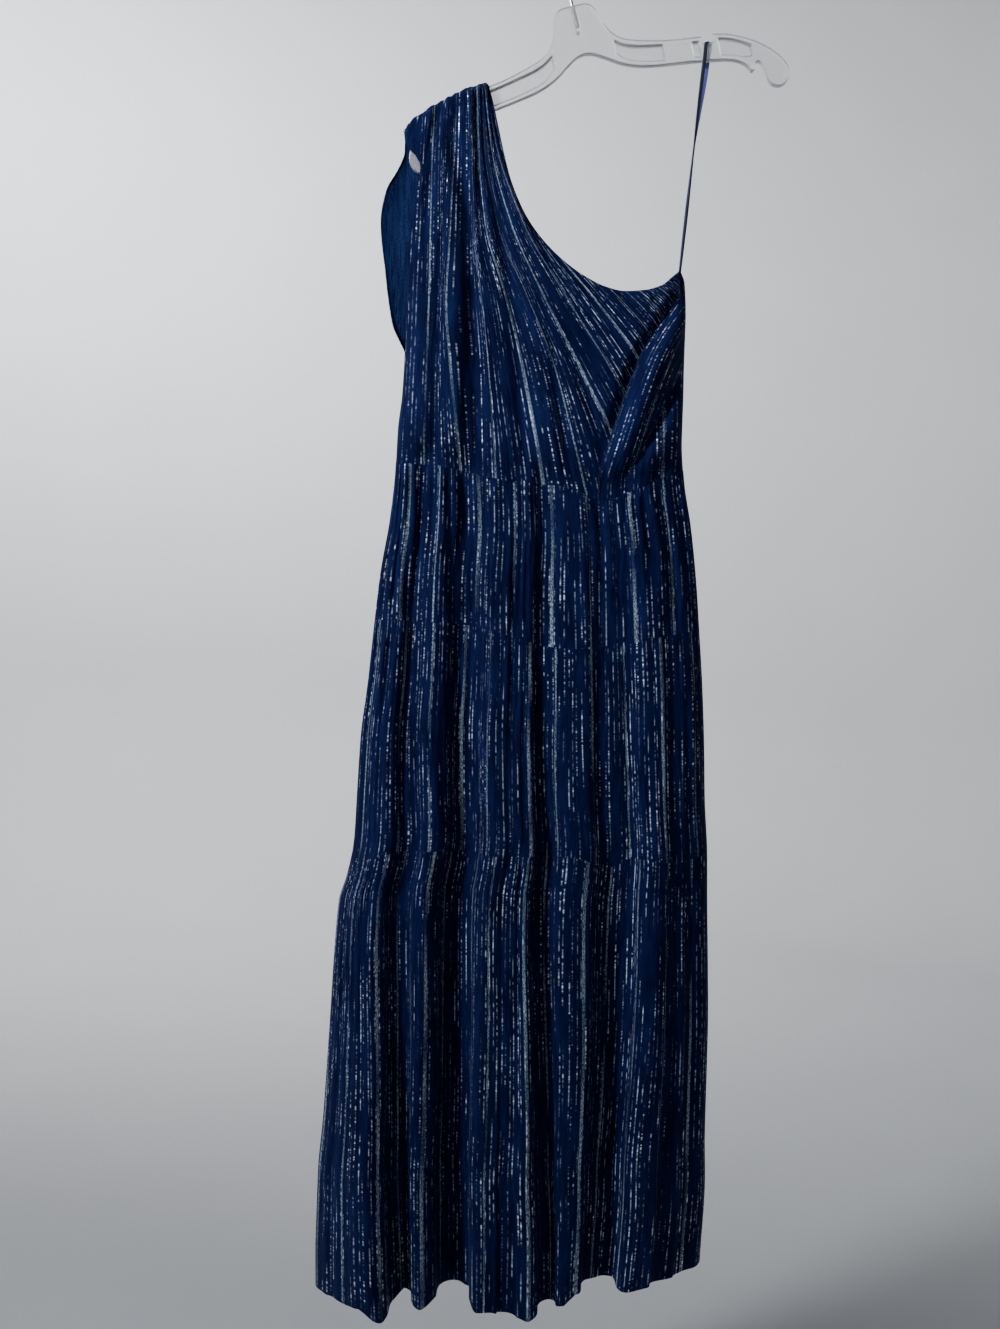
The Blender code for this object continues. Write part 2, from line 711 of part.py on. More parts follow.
def build_loop(finish, collection):
    """A narrow ribbon doubled over the hanger, both ends sewn in at the right underarm."""
    path = loop_path()
    cosine, slope = math.cos(HANGER_TILT), math.tan(HANGER_TILT)
    foot, crown = path[0][2], min(point[2] for point in path)
    strip = bmesh.new()
    bmesh.ops.create_grid(strip, x_segments=1, y_segments=len(path) - 1, size=0.5)
    strip.verts.sort(key=lambda v: v.co.x + 100 * v.co.y)
    for number, vertex in enumerate(strip.verts):
        x, y, drop = path[number // 2]
        side = (number % 2 - 0.5) * LOOP_WIDTH * cosine
        lean = slope * (foot - drop) / (foot - crown)
        vertex.co = ((x + side) * MM, y * MM, (-drop + side * lean) * MM)
    mesh = bpy.data.meshes.new("hanging_loop")
    strip.to_mesh(mesh)
    strip.free()
    mesh.shade_smooth()
    obj = show("hanging_loop", mesh, finish, collection)
    wall = obj.modifiers.new("wall", "SOLIDIFY")
    wall.thickness = LOOP_THICK * MM
    wall.offset = 0
    wall.use_even_offset = True
    return obj


def build_dress(cloth, collection):
    """Front and back of the bodice and of the three gathered skirt tiers."""
    sides = (
        ("front", -1, FRONT_SEAMS, FRONT_FOLDS, FRONT_DEPTH, FRONT_DRAPES, BODICE_FRONT_COLUMNS),
        ("back", 1, BACK_SEAMS, BACK_FOLDS, BACK_DEPTH, BACK_DRAPES, BODICE_BACK_COLUMNS),
    )
    tier_columns = np.linspace(0, 1, SKIRT_COLUMNS + 1)
    for name, facing, seams, folds, depth, drapes, count in sides:

        def above(seam, seams=seams):
            return lambda x: seam_drop(seams, seam, x) - SEAM_HALF_GAP

        def below(seam, seams=seams):
            return lambda x: seam_drop(seams, seam, x) + SEAM_HALF_GAP

        place = bodice_place(facing, drapes, seams)
        sewn = (None, above("waist"))
        across = bodice_columns(count)
        cloth_panel(
            f"bodice_{name}", place, across, BODICE_ROWS, facing, sewn, cloth, collection
        )
        for number, rows in TIER_ROWS.items():
            place = tier_place(number, seams, folds, depth, facing)
            foot = above(SEAM_ORDER[number]) if number < len(TIER_ROWS) else None
            sewn = (below(SEAM_ORDER[number - 1]), foot)
            label = f"skirt_tier_{number}_{name}"
            cloth_panel(label, place, tier_columns, rows, facing, sewn, cloth, collection)


def main():
    for obj in list(bpy.data.objects):
        bpy.data.objects.remove(obj)
    dress = bpy.data.collections.new("one_shoulder_dress_on_hanger")
    cutters = bpy.data.collections.new("cutters")
    for collection in (dress, cutters):
        bpy.context.scene.collection.children.link(collection)
    build_hanger(material(*CLEAR_PLASTIC), dress, cutters)
    build_hook(material(*WIRE_STEEL), dress)
    build_dress(material(*NAVY_CLOTH), dress)
    build_loop(material(*NAVY_RIBBON), dress)


main()
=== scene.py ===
# %% [markdown]
# # A one-shoulder dress on a clear hanger
# The real object is a navy crinkled dress with silver threads woven in, hung by its
# one shoulder and a ribbon loop. The CAD part already holds its true size and its large
# folds. Here each panel is made again as a fine, thin cloth on the same form, because
# cloth reads as cloth by its small creases, its threads and its soft edges.

import math

import bmesh
import bpy
import numpy as np
from mathutils import Matrix, Vector


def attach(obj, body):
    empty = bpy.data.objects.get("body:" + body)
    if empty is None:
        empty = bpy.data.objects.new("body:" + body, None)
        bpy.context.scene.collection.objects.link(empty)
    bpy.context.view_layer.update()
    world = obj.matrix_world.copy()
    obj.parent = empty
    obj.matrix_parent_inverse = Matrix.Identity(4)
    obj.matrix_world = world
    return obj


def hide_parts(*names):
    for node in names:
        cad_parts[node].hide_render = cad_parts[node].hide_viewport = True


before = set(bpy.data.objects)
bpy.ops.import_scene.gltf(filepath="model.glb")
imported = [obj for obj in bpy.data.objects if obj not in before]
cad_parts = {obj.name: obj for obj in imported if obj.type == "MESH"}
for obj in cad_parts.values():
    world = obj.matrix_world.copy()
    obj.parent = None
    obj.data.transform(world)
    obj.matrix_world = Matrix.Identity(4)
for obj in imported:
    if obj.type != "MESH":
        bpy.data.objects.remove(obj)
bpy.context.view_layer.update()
MM = 0.001
print("CAD nodes:", sorted(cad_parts))

# %% [markdown]
# ## Smooth lines through short tables
# Every outline here is a few measured points. A monotone cubic line runs through them
# without overshooting, so a seam between two level points stays level.


# %% Lines and eases
def through(keys, values, at):
    """A smooth line through values at rising keys, with no overshoot, read at `at`."""
    keys = np.asarray(keys, float)
    values = np.asarray(values, float)
    step = np.diff(keys)
    slope = np.diff(values) / step
    before, after = slope[:-1], slope[1:]
    total = np.where(before * after > 0, before + after, 1)
    inner = np.where(before * after > 0, 2 * before * after / total, 0)
    tangent = np.concatenate([slope[:1], inner, slope[-1:]])
    at = np.clip(at, keys[0], keys[-1])
    k = np.clip(np.searchsorted(keys, at) - 1, 0, len(step) - 1)
    t = (at - keys[k]) / step[k]
    rise = values[k + 1] - values[k]
    ends = values[k] + rise * t * t * (3 - 2 * t)
    lean = step[k] * t * (1 - t) * (tangent[k] * (1 - t) - tangent[k + 1] * t)
    return ends + lean


def column(table, number):
    return np.array([row[number] for row in table], float)


def read(table, number, at):
    return through(column(table, 0), column(table, number), at)


def rounded(distance, radius):
    share = np.clip(distance / radius, 0, 1)
    return np.sqrt(1 - (1 - share) ** 2)


def eased(share):
    share = np.clip(share, 0, 1)
    return share * share * (3 - 2 * share)


print("halfway along a line from 0 to 10:", through((0, 1), (0, 10), np.array([0.5])))

# %% [markdown]
# ## The outline of the dress
# The side seams and the horizontal seams carry the shape that the photo shows. They
# are in millimetres, as drops below the hook. Each seam is a drop at ten shares of the
# width, from the wearer's right side, which is the left of the picture.

# %% Side seams and horizontal seams
# drop, then x at the left and at the right
SIDES = (
    (358, -157, 143.6), (372, -157, 149), (416, -157, 151.6), (459, -157.3, 151.5),
    (505, -158.5, 152), (545, -162, 152), (590, -163, 155.5), (643, -167, 165),
    (704, -175.5, 173), (756, -180, 178), (824, -185, 184), (887, -191, 188),
    (942, -192.6, 190.5), (998, -194, 195), (1039, -201, 196.5), (1066, -208.5, 197.5),
    (1122, -211.6, 200), (1197, -213.7, 202.5), (1306, -217.5, 203), (1365, -221, 205),
    (1433, -221, 202.5), (1495, -219, 200),
)
SEAM_SHARES = (0, 0.12, 0.25, 0.4, 0.5, 0.62, 0.72, 0.8, 0.9, 1)
FRONT_SEAMS = {
    "waist": (585, 586, 593, 602, 604, 609, 619, 611, 594, 583),
    "tier_1": (756, 757, 758, 768, 778, 781, 779, 772, 763, 755),
    "tier_2": (1024, 1008, 1003, 1005, 1005, 1004, 1016, 1004, 1007, 998),
    "hem": (1488, 1488, 1484, 1483, 1483, 1477, 1470, 1463, 1455, 1446),
}
BACK_SEAMS = {
    "waist": (585, 587, 590, 593, 594, 594, 593, 590, 586, 583),
    "tier_1": (756, 758, 761, 764, 765, 765, 763, 761, 758, 755),
    "tier_2": (1024, 1012, 1008, 1006, 1005, 1004, 1003, 1002, 1000, 998),
    "hem": (1488, 1488, 1486, 1483, 1480, 1475, 1469, 1463, 1455, 1446),
}
SEAM_ORDER = ("waist", "tier_1", "tier_2", "hem")
FRONT_DEPTH = (26, 30, 38, 46)
BACK_DEPTH = (16, 18, 24, 30)
print("dress width at the hem:", read(SIDES, 2, 1450) - read(SIDES, 1, 1450), "mm")

# %% [markdown]
# ## The long folds
# A gathered skirt hangs in a few long folds that start at the waist and deepen to the
# hem. Each row is one ridge or valley: its place across the width and its height
# outwards at the waist, at both tier seams and at the hem. Between a ridge and a valley
# the cloth follows half a wave, and it leans over itself where the fold is deep. A cloth
# simulation could find folds too, but not these ones, which the photo shows.

# %% Long folds, front and back
# name, four shares of the width, four heights
FRONT_FOLDS = (
    ("left ridge", 0.045, 0.07, 0.09, 0.166, 2, 5, 12, 34),
    ("left valley", 0.110, 0.13, 0.17, 0.236, -2, -4, -6, -14),
    ("small ridge", 0.167, 0.194, 0.23, 0.277, 3, 6, 9, 13),
    ("deep valley", 0.260, 0.287, 0.315, 0.360, -4, -9, -17, -30),
    ("middle ridge", 0.370, 0.388, 0.412, 0.445, 4, 8, 14, 30),
    ("middle dip", 0.430, 0.440, 0.463, 0.498, 1, 4, 9, 22),
    ("middle edge", 0.463, 0.470, 0.494, 0.548, 3, 6, 12, 34),
    ("narrow valley", 0.505, 0.510, 0.535, 0.600, -2, -5, -11, 6),
    ("low ridge", 0.600, 0.605, 0.620, 0.640, 2, 4, 8, 15),
    ("right valley", 0.745, 0.740, 0.752, 0.730, -2, -5, -11, -22),
    ("right ridge", 0.850, 0.845, 0.850, 0.815, 3, 7, 14, 25),
    ("right dip", 0.915, 0.910, 0.905, 0.890, 0, 2, 6, 10),
    ("right edge", 0.960, 0.955, 0.950, 0.945, 1, 2, 3, 2),
)
BACK_FOLDS = (
    ("first ridge", 0.07, 0.08, 0.09, 0.10, 1, 3, 8, 16),
    ("first valley", 0.15, 0.16, 0.17, 0.18, -1, -3, -7, -12),
    ("second ridge", 0.24, 0.25, 0.26, 0.27, 2, 4, 9, 17),
    ("second valley", 0.33, 0.34, 0.34, 0.35, -2, -4, -8, -13),
    ("third ridge", 0.41, 0.42, 0.43, 0.44, 2, 4, 8, 15),
    ("third valley", 0.49, 0.50, 0.51, 0.52, -2, -3, -6, -11),
    ("fourth ridge", 0.58, 0.59, 0.60, 0.61, 2, 5, 10, 18),
    ("fourth valley", 0.67, 0.68, 0.69, 0.70, -2, -4, -8, -13),
    ("fifth ridge", 0.76, 0.77, 0.78, 0.79, 1, 3, 8, 15),
    ("fifth valley", 0.84, 0.85, 0.86, 0.87, -1, -3, -7, -11),
    ("last ridge", 0.92, 0.92, 0.93, 0.93, 1, 2, 5, 9),
)
FOLD_OVERHANG = (0.15, 0.4, 0.7, 1.0)
# share of the width and how far the hem is lifted there, in millimetres
HEM_LIFT = (
    (0, 0), (0.06, 3), (0.13, 7), (0.155, 1), (0.19, -6), (0.21, -3), (0.235, 7), (0.28, 0),
    (0.31, 5), (0.36, 8), (0.405, 11), (0.42, 6), (0.5, 5), (0.55, -1), (0.58, 6), (0.64, 2),
    (0.67, 10), (0.72, 7), (0.79, 9), (0.86, 8), (0.93, 3), (1, 0),
)


def fold_stations(folds):
    """The folds' shares of the cloth's width, worked out from its path at the hem."""
    width = read(SIDES, 2, 1450) - read(SIDES, 1, 1450)
    share = np.concatenate([[0], column(folds, 4), [1]])
    height = np.concatenate([[0], column(folds, 8), [0]])
    path = np.hypot(np.diff(share) * width, np.diff(height))
    return np.concatenate([[0], np.cumsum(path) / path.sum()])


def folded(folds, cloth, level):
    """Share of the width and height outwards at a share of the cloth and a seam level."""
    stations = fold_stations(folds)
    levels = np.arange(4)
    places = [through(levels, row[1:5], level) for row in folds]
    heights = [through(levels, row[5:9], level) for row in folds]
    edge = np.zeros_like(level)
    places = np.array([edge, *places, edge + 1])
    heights = np.array([edge, *heights, edge])
    k = np.clip(np.searchsorted(stations, cloth, side="right") - 1, 0, len(stations) - 2)
    t = (cloth - stations[k]) / (stations[k + 1] - stations[k])
    overhang = through(levels, FOLD_OVERHANG, level)
    inside = (k > 0) & (k < len(stations) - 2)
    lean = np.where(inside, overhang, 0) * np.sin(2 * math.pi * t) / (2 * math.pi)
    point = np.arange(len(cloth))
    run = places[k + 1, point] - places[k, point]
    share = places[k, point] + run * (t + lean)
    blend = (1 - np.cos(math.pi * t)) / 2
    height = heights[k, point] + (heights[k + 1, point] - heights[k, point]) * blend
    return share, height


print(len(FRONT_FOLDS), "front ridges and valleys,", len(BACK_FOLDS), "at the back")

# %% [markdown]
# ## Gathers and small creases
# Under each seam the cloth is drawn up on a thread, so it leaves the seam in many small
# puckers that die out downwards. No two are alike: their spacing and height drift
# along the seam. Lower down, a crinkled cloth still keeps shallow creases between
# the long folds, and these run down its length.

# %% Gathers and creases of the skirt
GATHERS = 26
GATHER_HEIGHT = 1.5
GATHER_START = 6
GATHER_REACH = 60
# waves across the panel, height, drift
SKIRT_CREASES = ((29, 1.0, 0.4), (17, 1.8, 2.3), (43, 0.55, 4.1), (11, 1.5, 5.2))


def gathers(cloth, below):
    """Uneven puckers that leave the seam above and fade."""
    phase = GATHERS * cloth + 0.45 * np.sin(13 * cloth + 1) + 0.3 * np.sin(31 * cloth)
    uneven = 0.65 + 0.35 * np.sin(43 * cloth + 2)
    reach = GATHER_REACH * (0.75 + 0.5 * np.sin(27 * cloth + 0.5) ** 2)
    fade = (1 - np.exp(-below / GATHER_START)) * np.exp(-below / reach)
    return GATHER_HEIGHT * uneven * np.cos(2 * math.pi * phase) * fade


def skirt_creases(cloth, level):
    """Shallow creases down the cloth, each fading in and out on its own."""
    total = np.zeros_like(cloth)
    for waves, height, drift in SKIRT_CREASES:
        sway = 0.10 * np.sin(2.2 * level + drift) + 0.06 * np.sin(5 * level + 3 * drift)
        shown = 0.5 + 0.5 * np.sin(9 * cloth + 2.4 * level + 2 * drift)
        warp = 0.25 * np.sin(17 * cloth + drift)
        total += height * shown * np.cos(2 * math.pi * (waves * cloth + sway + warp))
    return total


def oval(share):
    """Depth of the dress's flattened round section, from 0 at a side seam to 1."""
    return (1 - np.abs(2 * share - 1) ** 3) ** (1 / 3)


def tier_place(number, seams, folds, depth, facing):
    """Where the points of one skirt tier lie; facing is -1 for the front, 1 for the back."""
    top, bottom = SEAM_ORDER[number - 1], SEAM_ORDER[number]

    def place(cloth, down):
        level = number - 1 + down
        share, height = folded(folds, cloth, level)
        high = through(SEAM_SHARES, seams[top], share)
        low = through(SEAM_SHARES, seams[bottom], share)
        left_drop = seams[top][0] + (seams[bottom][0] - seams[top][0]) * down
        right_drop = seams[top][-1] + (seams[bottom][-1] - seams[top][-1]) * down
        left = read(SIDES, 1, left_drop)
        right = read(SIDES, 2, right_drop)
        if number == 3:
            lift = np.interp(share, column(HEM_LIFT, 0), column(HEM_LIFT, 1))
            ragged = np.sin(97 * cloth) + 0.6 * np.sin(171 * cloth + 2)
            ragged = ragged * eased(8 * cloth) * eased(8 - 8 * cloth)
            low = low - lift * (1 if facing < 0 else 0.5) + 0.8 * ragged
        below = (low - high) * down
        above = (low - high) - below if number < 3 else np.full_like(below, 99)
        ends = rounded(np.minimum(cloth, 1 - cloth), 0.05)
        sewn = eased(below / 25) * eased(above / 25)
        small = gathers(cloth, below) + skirt_creases(cloth, level) * sewn
        outward = through(np.arange(4), depth, level) * oval(share) + height
        tucked_in = np.clip(-below / 3, 0, 1) * 0.9 * ends
        y = facing * (outward + small * ends - tucked_in)
        return left + share * (right - left), y, high + below

    return place


# %% [markdown]
# ## The bodice
# The bodice has one wide shoulder, pleated into its seam, and from there its cloth fans
# out to the other side of the waist. Its top edge runs up the shoulder seam and down the
# neckline, and its left edge is the armhole, where the back stands further out than
# the front. Each drape fold is a soft line through three points.

# %% Bodice tables
SHOULDER_SHARE = 0.5
# share of the width, x, drop
BODICE_TOP = (
    (0.00, -167, 214.5), (0.08, -158.5, 203.5), (0.16, -144, 193), (0.25, -128, 183),
    (0.33, -113, 174.5), (0.39, -100, 167.5), (0.45, -88, 163.2), (SHOULDER_SHARE, -77, 159.8),
    (0.507, -75.6, 162.6), (0.517, -73, 171), (0.530, -69.3, 183), (0.548, -64.4, 202),
    (0.571, -56.8, 233), (0.600, -47.4, 266), (0.640, -27.5, 309), (0.685, 2, 345),
    (0.740, 36, 371), (0.785, 61, 383), (0.825, 80, 387), (0.870, 102, 385),
    (0.915, 120, 378.5), (0.950, 130, 369), (1.000, 143.6, 358),
)
NECK_ROW = column(BODICE_TOP, 0).tolist().index(SHOULDER_SHARE)
BACK_NECKLINE_LOWER = 4
# drop, x of the front's edge, x of the back's
ARMHOLE = (
    (214.5, -167, -167), (225, -165, -166), (236, -160, -166), (246, -151, -169),
    (257, -146.5, -174), (278, -148, -185), (310, -152.5, -190), (369, -155, -183),
    (426, -156, -173), (459, -157.3, -157.3),
)
UNDERARM_DROP = 459
# drop, depth of the front, depth of the back
BODICE_DEPTH = (
    (150, 12, 12), (230, 11, 11), (300, 15, 12), (400, 22, 15), (500, 28, 17), (560, 32, 19),
    (584, 30, 17), (604, 26, 16), (640, 26, 16),
)
# name, x and drop at the top, middle and foot, width, height outwards
FRONT_DRAPES = (
    ("upper crease", 142, 388, 100, 462, 60, 590, 9, -8),
    ("roll of cloth", 150, 415, 114, 486, 74, 598, 13, 8),
    ("lower crease", 153, 462, 124, 526, 88, 604, 9, -9.5),
    ("shoulder valley", -116, 215, -90, 330, -81, 590, 9, -5),
    ("side valley", -140, 225, -136, 380, -134, 590, 8, -3),
    ("centre valley", -70, 260, -38, 400, -12, 600, 14, -3),
    ("centre roll", -52, 260, -8, 400, 22, 600, 16, 4),
    ("first pleat", -109, 178, -109, 239, -111, 310, 4.5, -3),
    ("second pleat", -88, 170, -80, 270, -64, 410, 5, -2.4),
    ("third pleat", -129, 190, -136, 235, -139, 330, 4.5, -2.4),
    ("neck fold", 45, 376, 62, 404, 86, 436, 5, -1.8),
    ("underarm fold", 124, 380, 106, 418, 94, 452, 5, -2.4),
    ("waist fold", 4, 480, 17, 540, 28, 604, 6, -2.6),
    ("second waist fold", 36, 480, 54, 540, 70, 604, 6, -2.2),
    ("deep waist valley", -82, 380, -75, 490, -72, 600, 6.5, -5),
    ("left roll", -102, 360, -99, 480, -94, 600, 9, 3),
    ("left valley", -121, 340, -120, 490, -117, 600, 6, -3.2),
    ("outer roll", -137, 380, -136, 490, -135, 600, 8, 2.4),
    ("outer valley", -151, 300, -151, 450, -153, 600, 4.5, -2.2),
    ("fan fold", -60, 300, -38, 430, -20, 600, 7, -2.6),
    ("second fan fold", -30, 330, 2, 440, 34, 600, 7, -2.2),
)
BACK_DRAPES = (
    ("upper crease", 140, 400, 96, 480, 50, 590, 12, -4),
    ("roll of cloth", 148, 430, 108, 505, 68, 592, 14, 4),
    ("shoulder valley", -112, 215, -92, 340, -86, 588, 10, -3),
    ("first pleat", -126, 195, -133, 260, -138, 360, 5, -2.2),
    ("second pleat", -92, 175, -76, 300, -50, 460, 5, -2.2),
    ("waist fold", 0, 470, 14, 530, 22, 590, 7, -2.2),
    ("side fold", -140, 430, -134, 500, -130, 588, 7, -2.2),
)
print(len(FRONT_DRAPES), "drape folds on the front of the bodice")

# %% [markdown]
# The threads of the cloth lie parallel before sewing. Pleated at the shoulder, they
# spread like a fan, first along the neckline and then down to the waist. Some of them are
# followed here from the shoulder to the waist, and a point between two threads takes
# its place in the flat cloth from both. Pleats follow the same threads, which is what
# makes them look sewn in and not drawn on.

# %% Paths of threads
THREAD_DROPS = (160, 240, 320, 400, 480, 560, 620)
# place in the flat cloth, then x at each of the drops
THREAD_PATHS = (
    (-40, -207, -206, -204, -200, -198, -199, -200),
    (0, -167, -165, -160, -158, -158, -162, -165),
    (16, -146, -149, -151, -151.5, -151, -152, -154),
    (52, -124, -126, -124, -120.6, -120, -118.5, -117),
    (90, -109, -110, -111, -113, -105.5, -93.5, -86),
    (112, -98, -93, -88.5, -83, -76, -72.5, -70),
    (150, -91, -87.5, -84, -68, -54, -41, -33),
    (222, -84, -78, -62, -28, 3, 24, 40),
    (282, -80, -68, -44, -6, 38, 77, 97),
    (350, -77, -58, -24, 32, 88, 140, 165),
    (420, -74, -46, 2, 76, 146, 200, 230),
    (520, -70, -34, 40, 140, 224, 290, 330),
    (640, -66, -10, 100, 230, 330, 400, 440),
)
CREASE_DROPS = (388, 462, 590)
UPPER_CREASE = (142, 100, 60)
LOWER_CREASE = (178, 151, 92)


def thread_across(x, drop):
    """How many millimetres of flat cloth lie between the first thread and a point."""
    lines = [through(THREAD_DROPS, row[1:], drop) for row in THREAD_PATHS]
    flat = np.full_like(x, THREAD_PATHS[0][0])
    for k, (near, far) in enumerate(zip(lines, lines[1:])):
        share = np.clip((x - near) / (far - near), 0, 1)
        flat = flat + share * (THREAD_PATHS[k + 1][0] - THREAD_PATHS[k][0])
    return flat


def thread_under_roll(x, drop):
    """The same for the front, where the roll of cloth lies over the fan of threads."""
    upper = through(CREASE_DROPS, UPPER_CREASE, drop)
    lower = through(CREASE_DROPS, LOWER_CREASE, drop)
    on_roll = 575 + (x - upper) * 1.3
    beyond = 640 + (x - 150)
    flat = np.where(x > upper, on_roll, thread_across(x, drop))
    return np.where((x > lower) & (drop > 440), beyond, flat)


# %% Pleats of the bodice
# length between pleats in flat cloth, height, drift
BODICE_PLEATS = ((47, 1.7, 0.3), (29, 0.9, 2.1), (76, 1.2, 4.4))


def small_pleats(x, drop):
    """Pleats along the threads: close and deep at the shoulder, wide and low below."""
    thread = thread_across(x, drop)
    closeness = eased((470 - drop) / 330)
    total = np.zeros_like(x)
    for length, height, drift in BODICE_PLEATS:
        shown = 0.65 + 0.35 * np.sin(thread / 61 + drop / 85 + 2 * drift)
        sway = 0.15 * np.sin(drop / 60 + drift) + 0.3 * np.sin(thread / 53 + drift)
        wave = np.cos(2 * math.pi * (thread / length + sway))
        total += height * (0.35 + 0.65 * closeness) * shown * wave
    return total


def drape_height(drapes, x, drop):
    """Height outwards that the bodice's drape folds add at a point."""
    total = np.zeros_like(x)
    for _, x0, d0, x1, d1, x2, d2, width, height in drapes:
        line = through((d0, d1, d2), (x0, x1, x2), drop)
        start = eased((drop - d0) / 45 + 0.5)
        end = eased((d2 - drop) / 80 + 0.15)
        total += height * start * end * np.exp(-(((x - line) / width) ** 2))
    return total


# the bodice turns round its side within this many millimetres
SIDE_TURN = 42
# share of its depth at which an open edge stands away from the middle
OPEN_EDGE = 0.6


def bodice_place(across, down, facing, drapes, seams, folds, depths):
    """Where the points of the bodice's front (facing -1) or back (facing 1) lie."""
    front = facing < 0
    waist = np.linspace(0, 1, 300)
    waist_x, waist_y, _ = tier_place(1, seams, folds, depths, facing)(waist, 0 * waist)
    waist_share = (waist_x - waist_x[0]) / (waist_x[-1] - waist_x[0])

    top_x = read(BODICE_TOP, 1, across)
    top_drop = read(BODICE_TOP, 2, across)
    neck = np.clip((across - SHOULDER_SHARE) / (1 - SHOULDER_SHARE), 0, 1)
    pleats = 1 + np.cos(2 * math.pi * (17 * across + 0.4 * np.sin(21 * across)))
    top_drop = top_drop - 0.7 * pleats * (1 - eased((across - 0.44) / 0.06))
    if not front:
        top_drop = top_drop + BACK_NECKLINE_LOWER * np.sin(math.pi * neck)
    foot_drop = through(SEAM_SHARES, seams["waist"], across)
    foot_left = read(SIDES, 1, seams["waist"][0])
    foot_right = read(SIDES, 2, seams["waist"][-1])
    foot_x = foot_left + across * (foot_right - foot_left)
    length = foot_drop - top_drop
    drop = top_drop + length * down
    x = top_x + (foot_x - top_x) * down

    left_line = BODICE_TOP[0][1] + (foot_left - BODICE_TOP[0][1]) * down
    edge = read(ARMHOLE, 1 if front else 2, drop)
    left = np.where(drop < UNDERARM_DROP, edge, read(SIDES, 1, drop))
    x = x + (left - left_line) * np.clip(1 - across / 0.35, 0, 1) ** 2
    right_line = BODICE_TOP[-1][1] + (foot_right - BODICE_TOP[-1][1]) * down
    right = read(SIDES, 2, drop)
    x = x + (right - right_line) * np.clip((across - 0.7) / 0.3, 0, 1) ** 2

    past_shoulder = np.where(neck > 0, top_drop - BODICE_TOP[NECK_ROW][2], 0)
    open_neck = OPEN_EDGE * rounded(past_shoulder, 6) * rounded(1 - neck, 0.2)
    open_arm = OPEN_EDGE * eased((UNDERARM_DROP - drop) / 60) * eased(down / 0.02)
    from_top = length * down
    seam_rise = rounded(from_top, np.where(across < SHOULDER_SHARE, 9, 60))
    top_rise = open_neck + (1 - open_neck) * seam_rise
    left_rise = open_arm + (1 - open_arm) * rounded(x - left, SIDE_TURN)
    right_rise = rounded(np.where(neck > 0, right - x, SIDE_TURN), SIDE_TURN)
    depth = read(BODICE_DEPTH, 1 if front else 2, drop)
    rise = top_rise * left_rise * right_rise

    above = foot_drop - drop
    to_waist = eased(above / 30)
    pucker = gathers(across, above) * 0.7
    soft_ends = eased((x - left) / 14) * eased((right - x) / 14)
    settle = rounded(from_top, 12)
    waves = (small_pleats(x, drop) * to_waist + pucker) * soft_ends * settle
    drape = drape_height(drapes, x, drop) * to_waist * rounded(from_top, 30)
    drape = drape * rounded(right - x, 25) * rounded(x - left, 25)
    y = facing * (depth * rise + waves + drape)
    free = eased(above / 32)
    at_waist = np.interp((x - left) / (right - left), waist_share, waist_y)
    y = y * free + at_waist * (1 - free)
    return x, y, drop


print("threads at the waist:", thread_across(np.array([-150.0, 20.0]), np.array([590.0, 590.0])))

# %% [markdown]
# ## Nodes and colours
# Colours are written as sRGB hex, as a designer would give them, and turned to the
# linear values that the shader works in. One helper adds a node with its settings
# and its links, and hands back one of its outputs, so that nodes can be chained.


# %% Helpers for materials
def linear(code):
    """An sRGB hex colour as linear red, green, blue and alpha."""
    values = [int(code[i : i + 2], 16) / 255 for i in (1, 3, 5)]
    return [v / 12.92 if v <= 0.04045 else ((v + 0.055) / 1.055) ** 2.4 for v in values] + [1]


def join(node, inputs):
    """Links the inputs whose value comes from another node, and sets the others."""
    for name, value in inputs.items():
        if isinstance(value, bpy.types.NodeSocket):
            node.id_data.links.new(value, node.inputs[name])
        else:
            node.inputs[name].default_value = value


def add(tree, kind, *values, output=0, named=None, **settings):
    """Adds a node, its settings and its inputs, in order or by name; gives an output."""
    node = tree.nodes.new(f"ShaderNode{kind}")
    for name, value in settings.items():
        setattr(node, name, value)
    join(node, {**dict(enumerate(values)), **(named or {})})
    return node.outputs[output]


def new_material(name):
    """An empty material, its tree and its shader."""
    made = bpy.data.materials.new(name)
    made.use_nodes = True
    return made, made.node_tree, made.node_tree.nodes["Principled BSDF"]


def layered(tree, colour, layers):
    """Lays colours over a first one, each by its share."""
    for share, over in layers:
        parts = {"Factor": share, "A": colour, "B": over}
        colour = add(tree, "Mix", named=parts, output="Result", data_type="RGBA")
    return colour


print("navy in linear light:", [round(v, 4) for v in linear("#16294f")])

# %% [markdown]
# ## Crinkle cloth with metal threads
# The real cloth is a thin crinkled viscose, navy, with flat silver threads woven
# in lengthways. They come in an uneven repeat: some lie side by side in bands, most are
# single, and all are broken where they dive under the weave. A picture of the cloth
# could be laid on, but it would blur close by and show its repeat. So a short chart
# gives the bands, each single thread gets its own place and brightness by chance, and
# noise stretched along the thread breaks it up. All of it is drawn in metres of flat
# cloth, so the stripes close up in the gathers as the real ones do.

# %% Chart of the threads
REPEAT = 0.193
# bands: millimetres from the start of the repeat, width, how bright
BANDS = ((4, 4.8, 0.8), (52, 1.6, 0.7), (101, 3.6, 0.85), (146, 1.8, 0.75))
# One thread lies in each pitch, in metres. The real one is about 0.3 mm wide, too fine
# for the render, so it is drawn wider.
PITCH = 0.0056
THREAD_WIDTH = 0.0011


def streaks(tree, place, rows):
    """Noise for each row: waves in a metre across and along the cloth, start, detail."""
    fields = []
    for across, along, start, detail in rows:
        scale = (across, along, 0)
        spot = add(tree, "VectorMath", place, scale, (0, 0, start), operation="MULTIPLY_ADD")
        fields.append(add(tree, "TexNoise", spot, named={"Scale": 1, "Detail": detail}))
    return fields


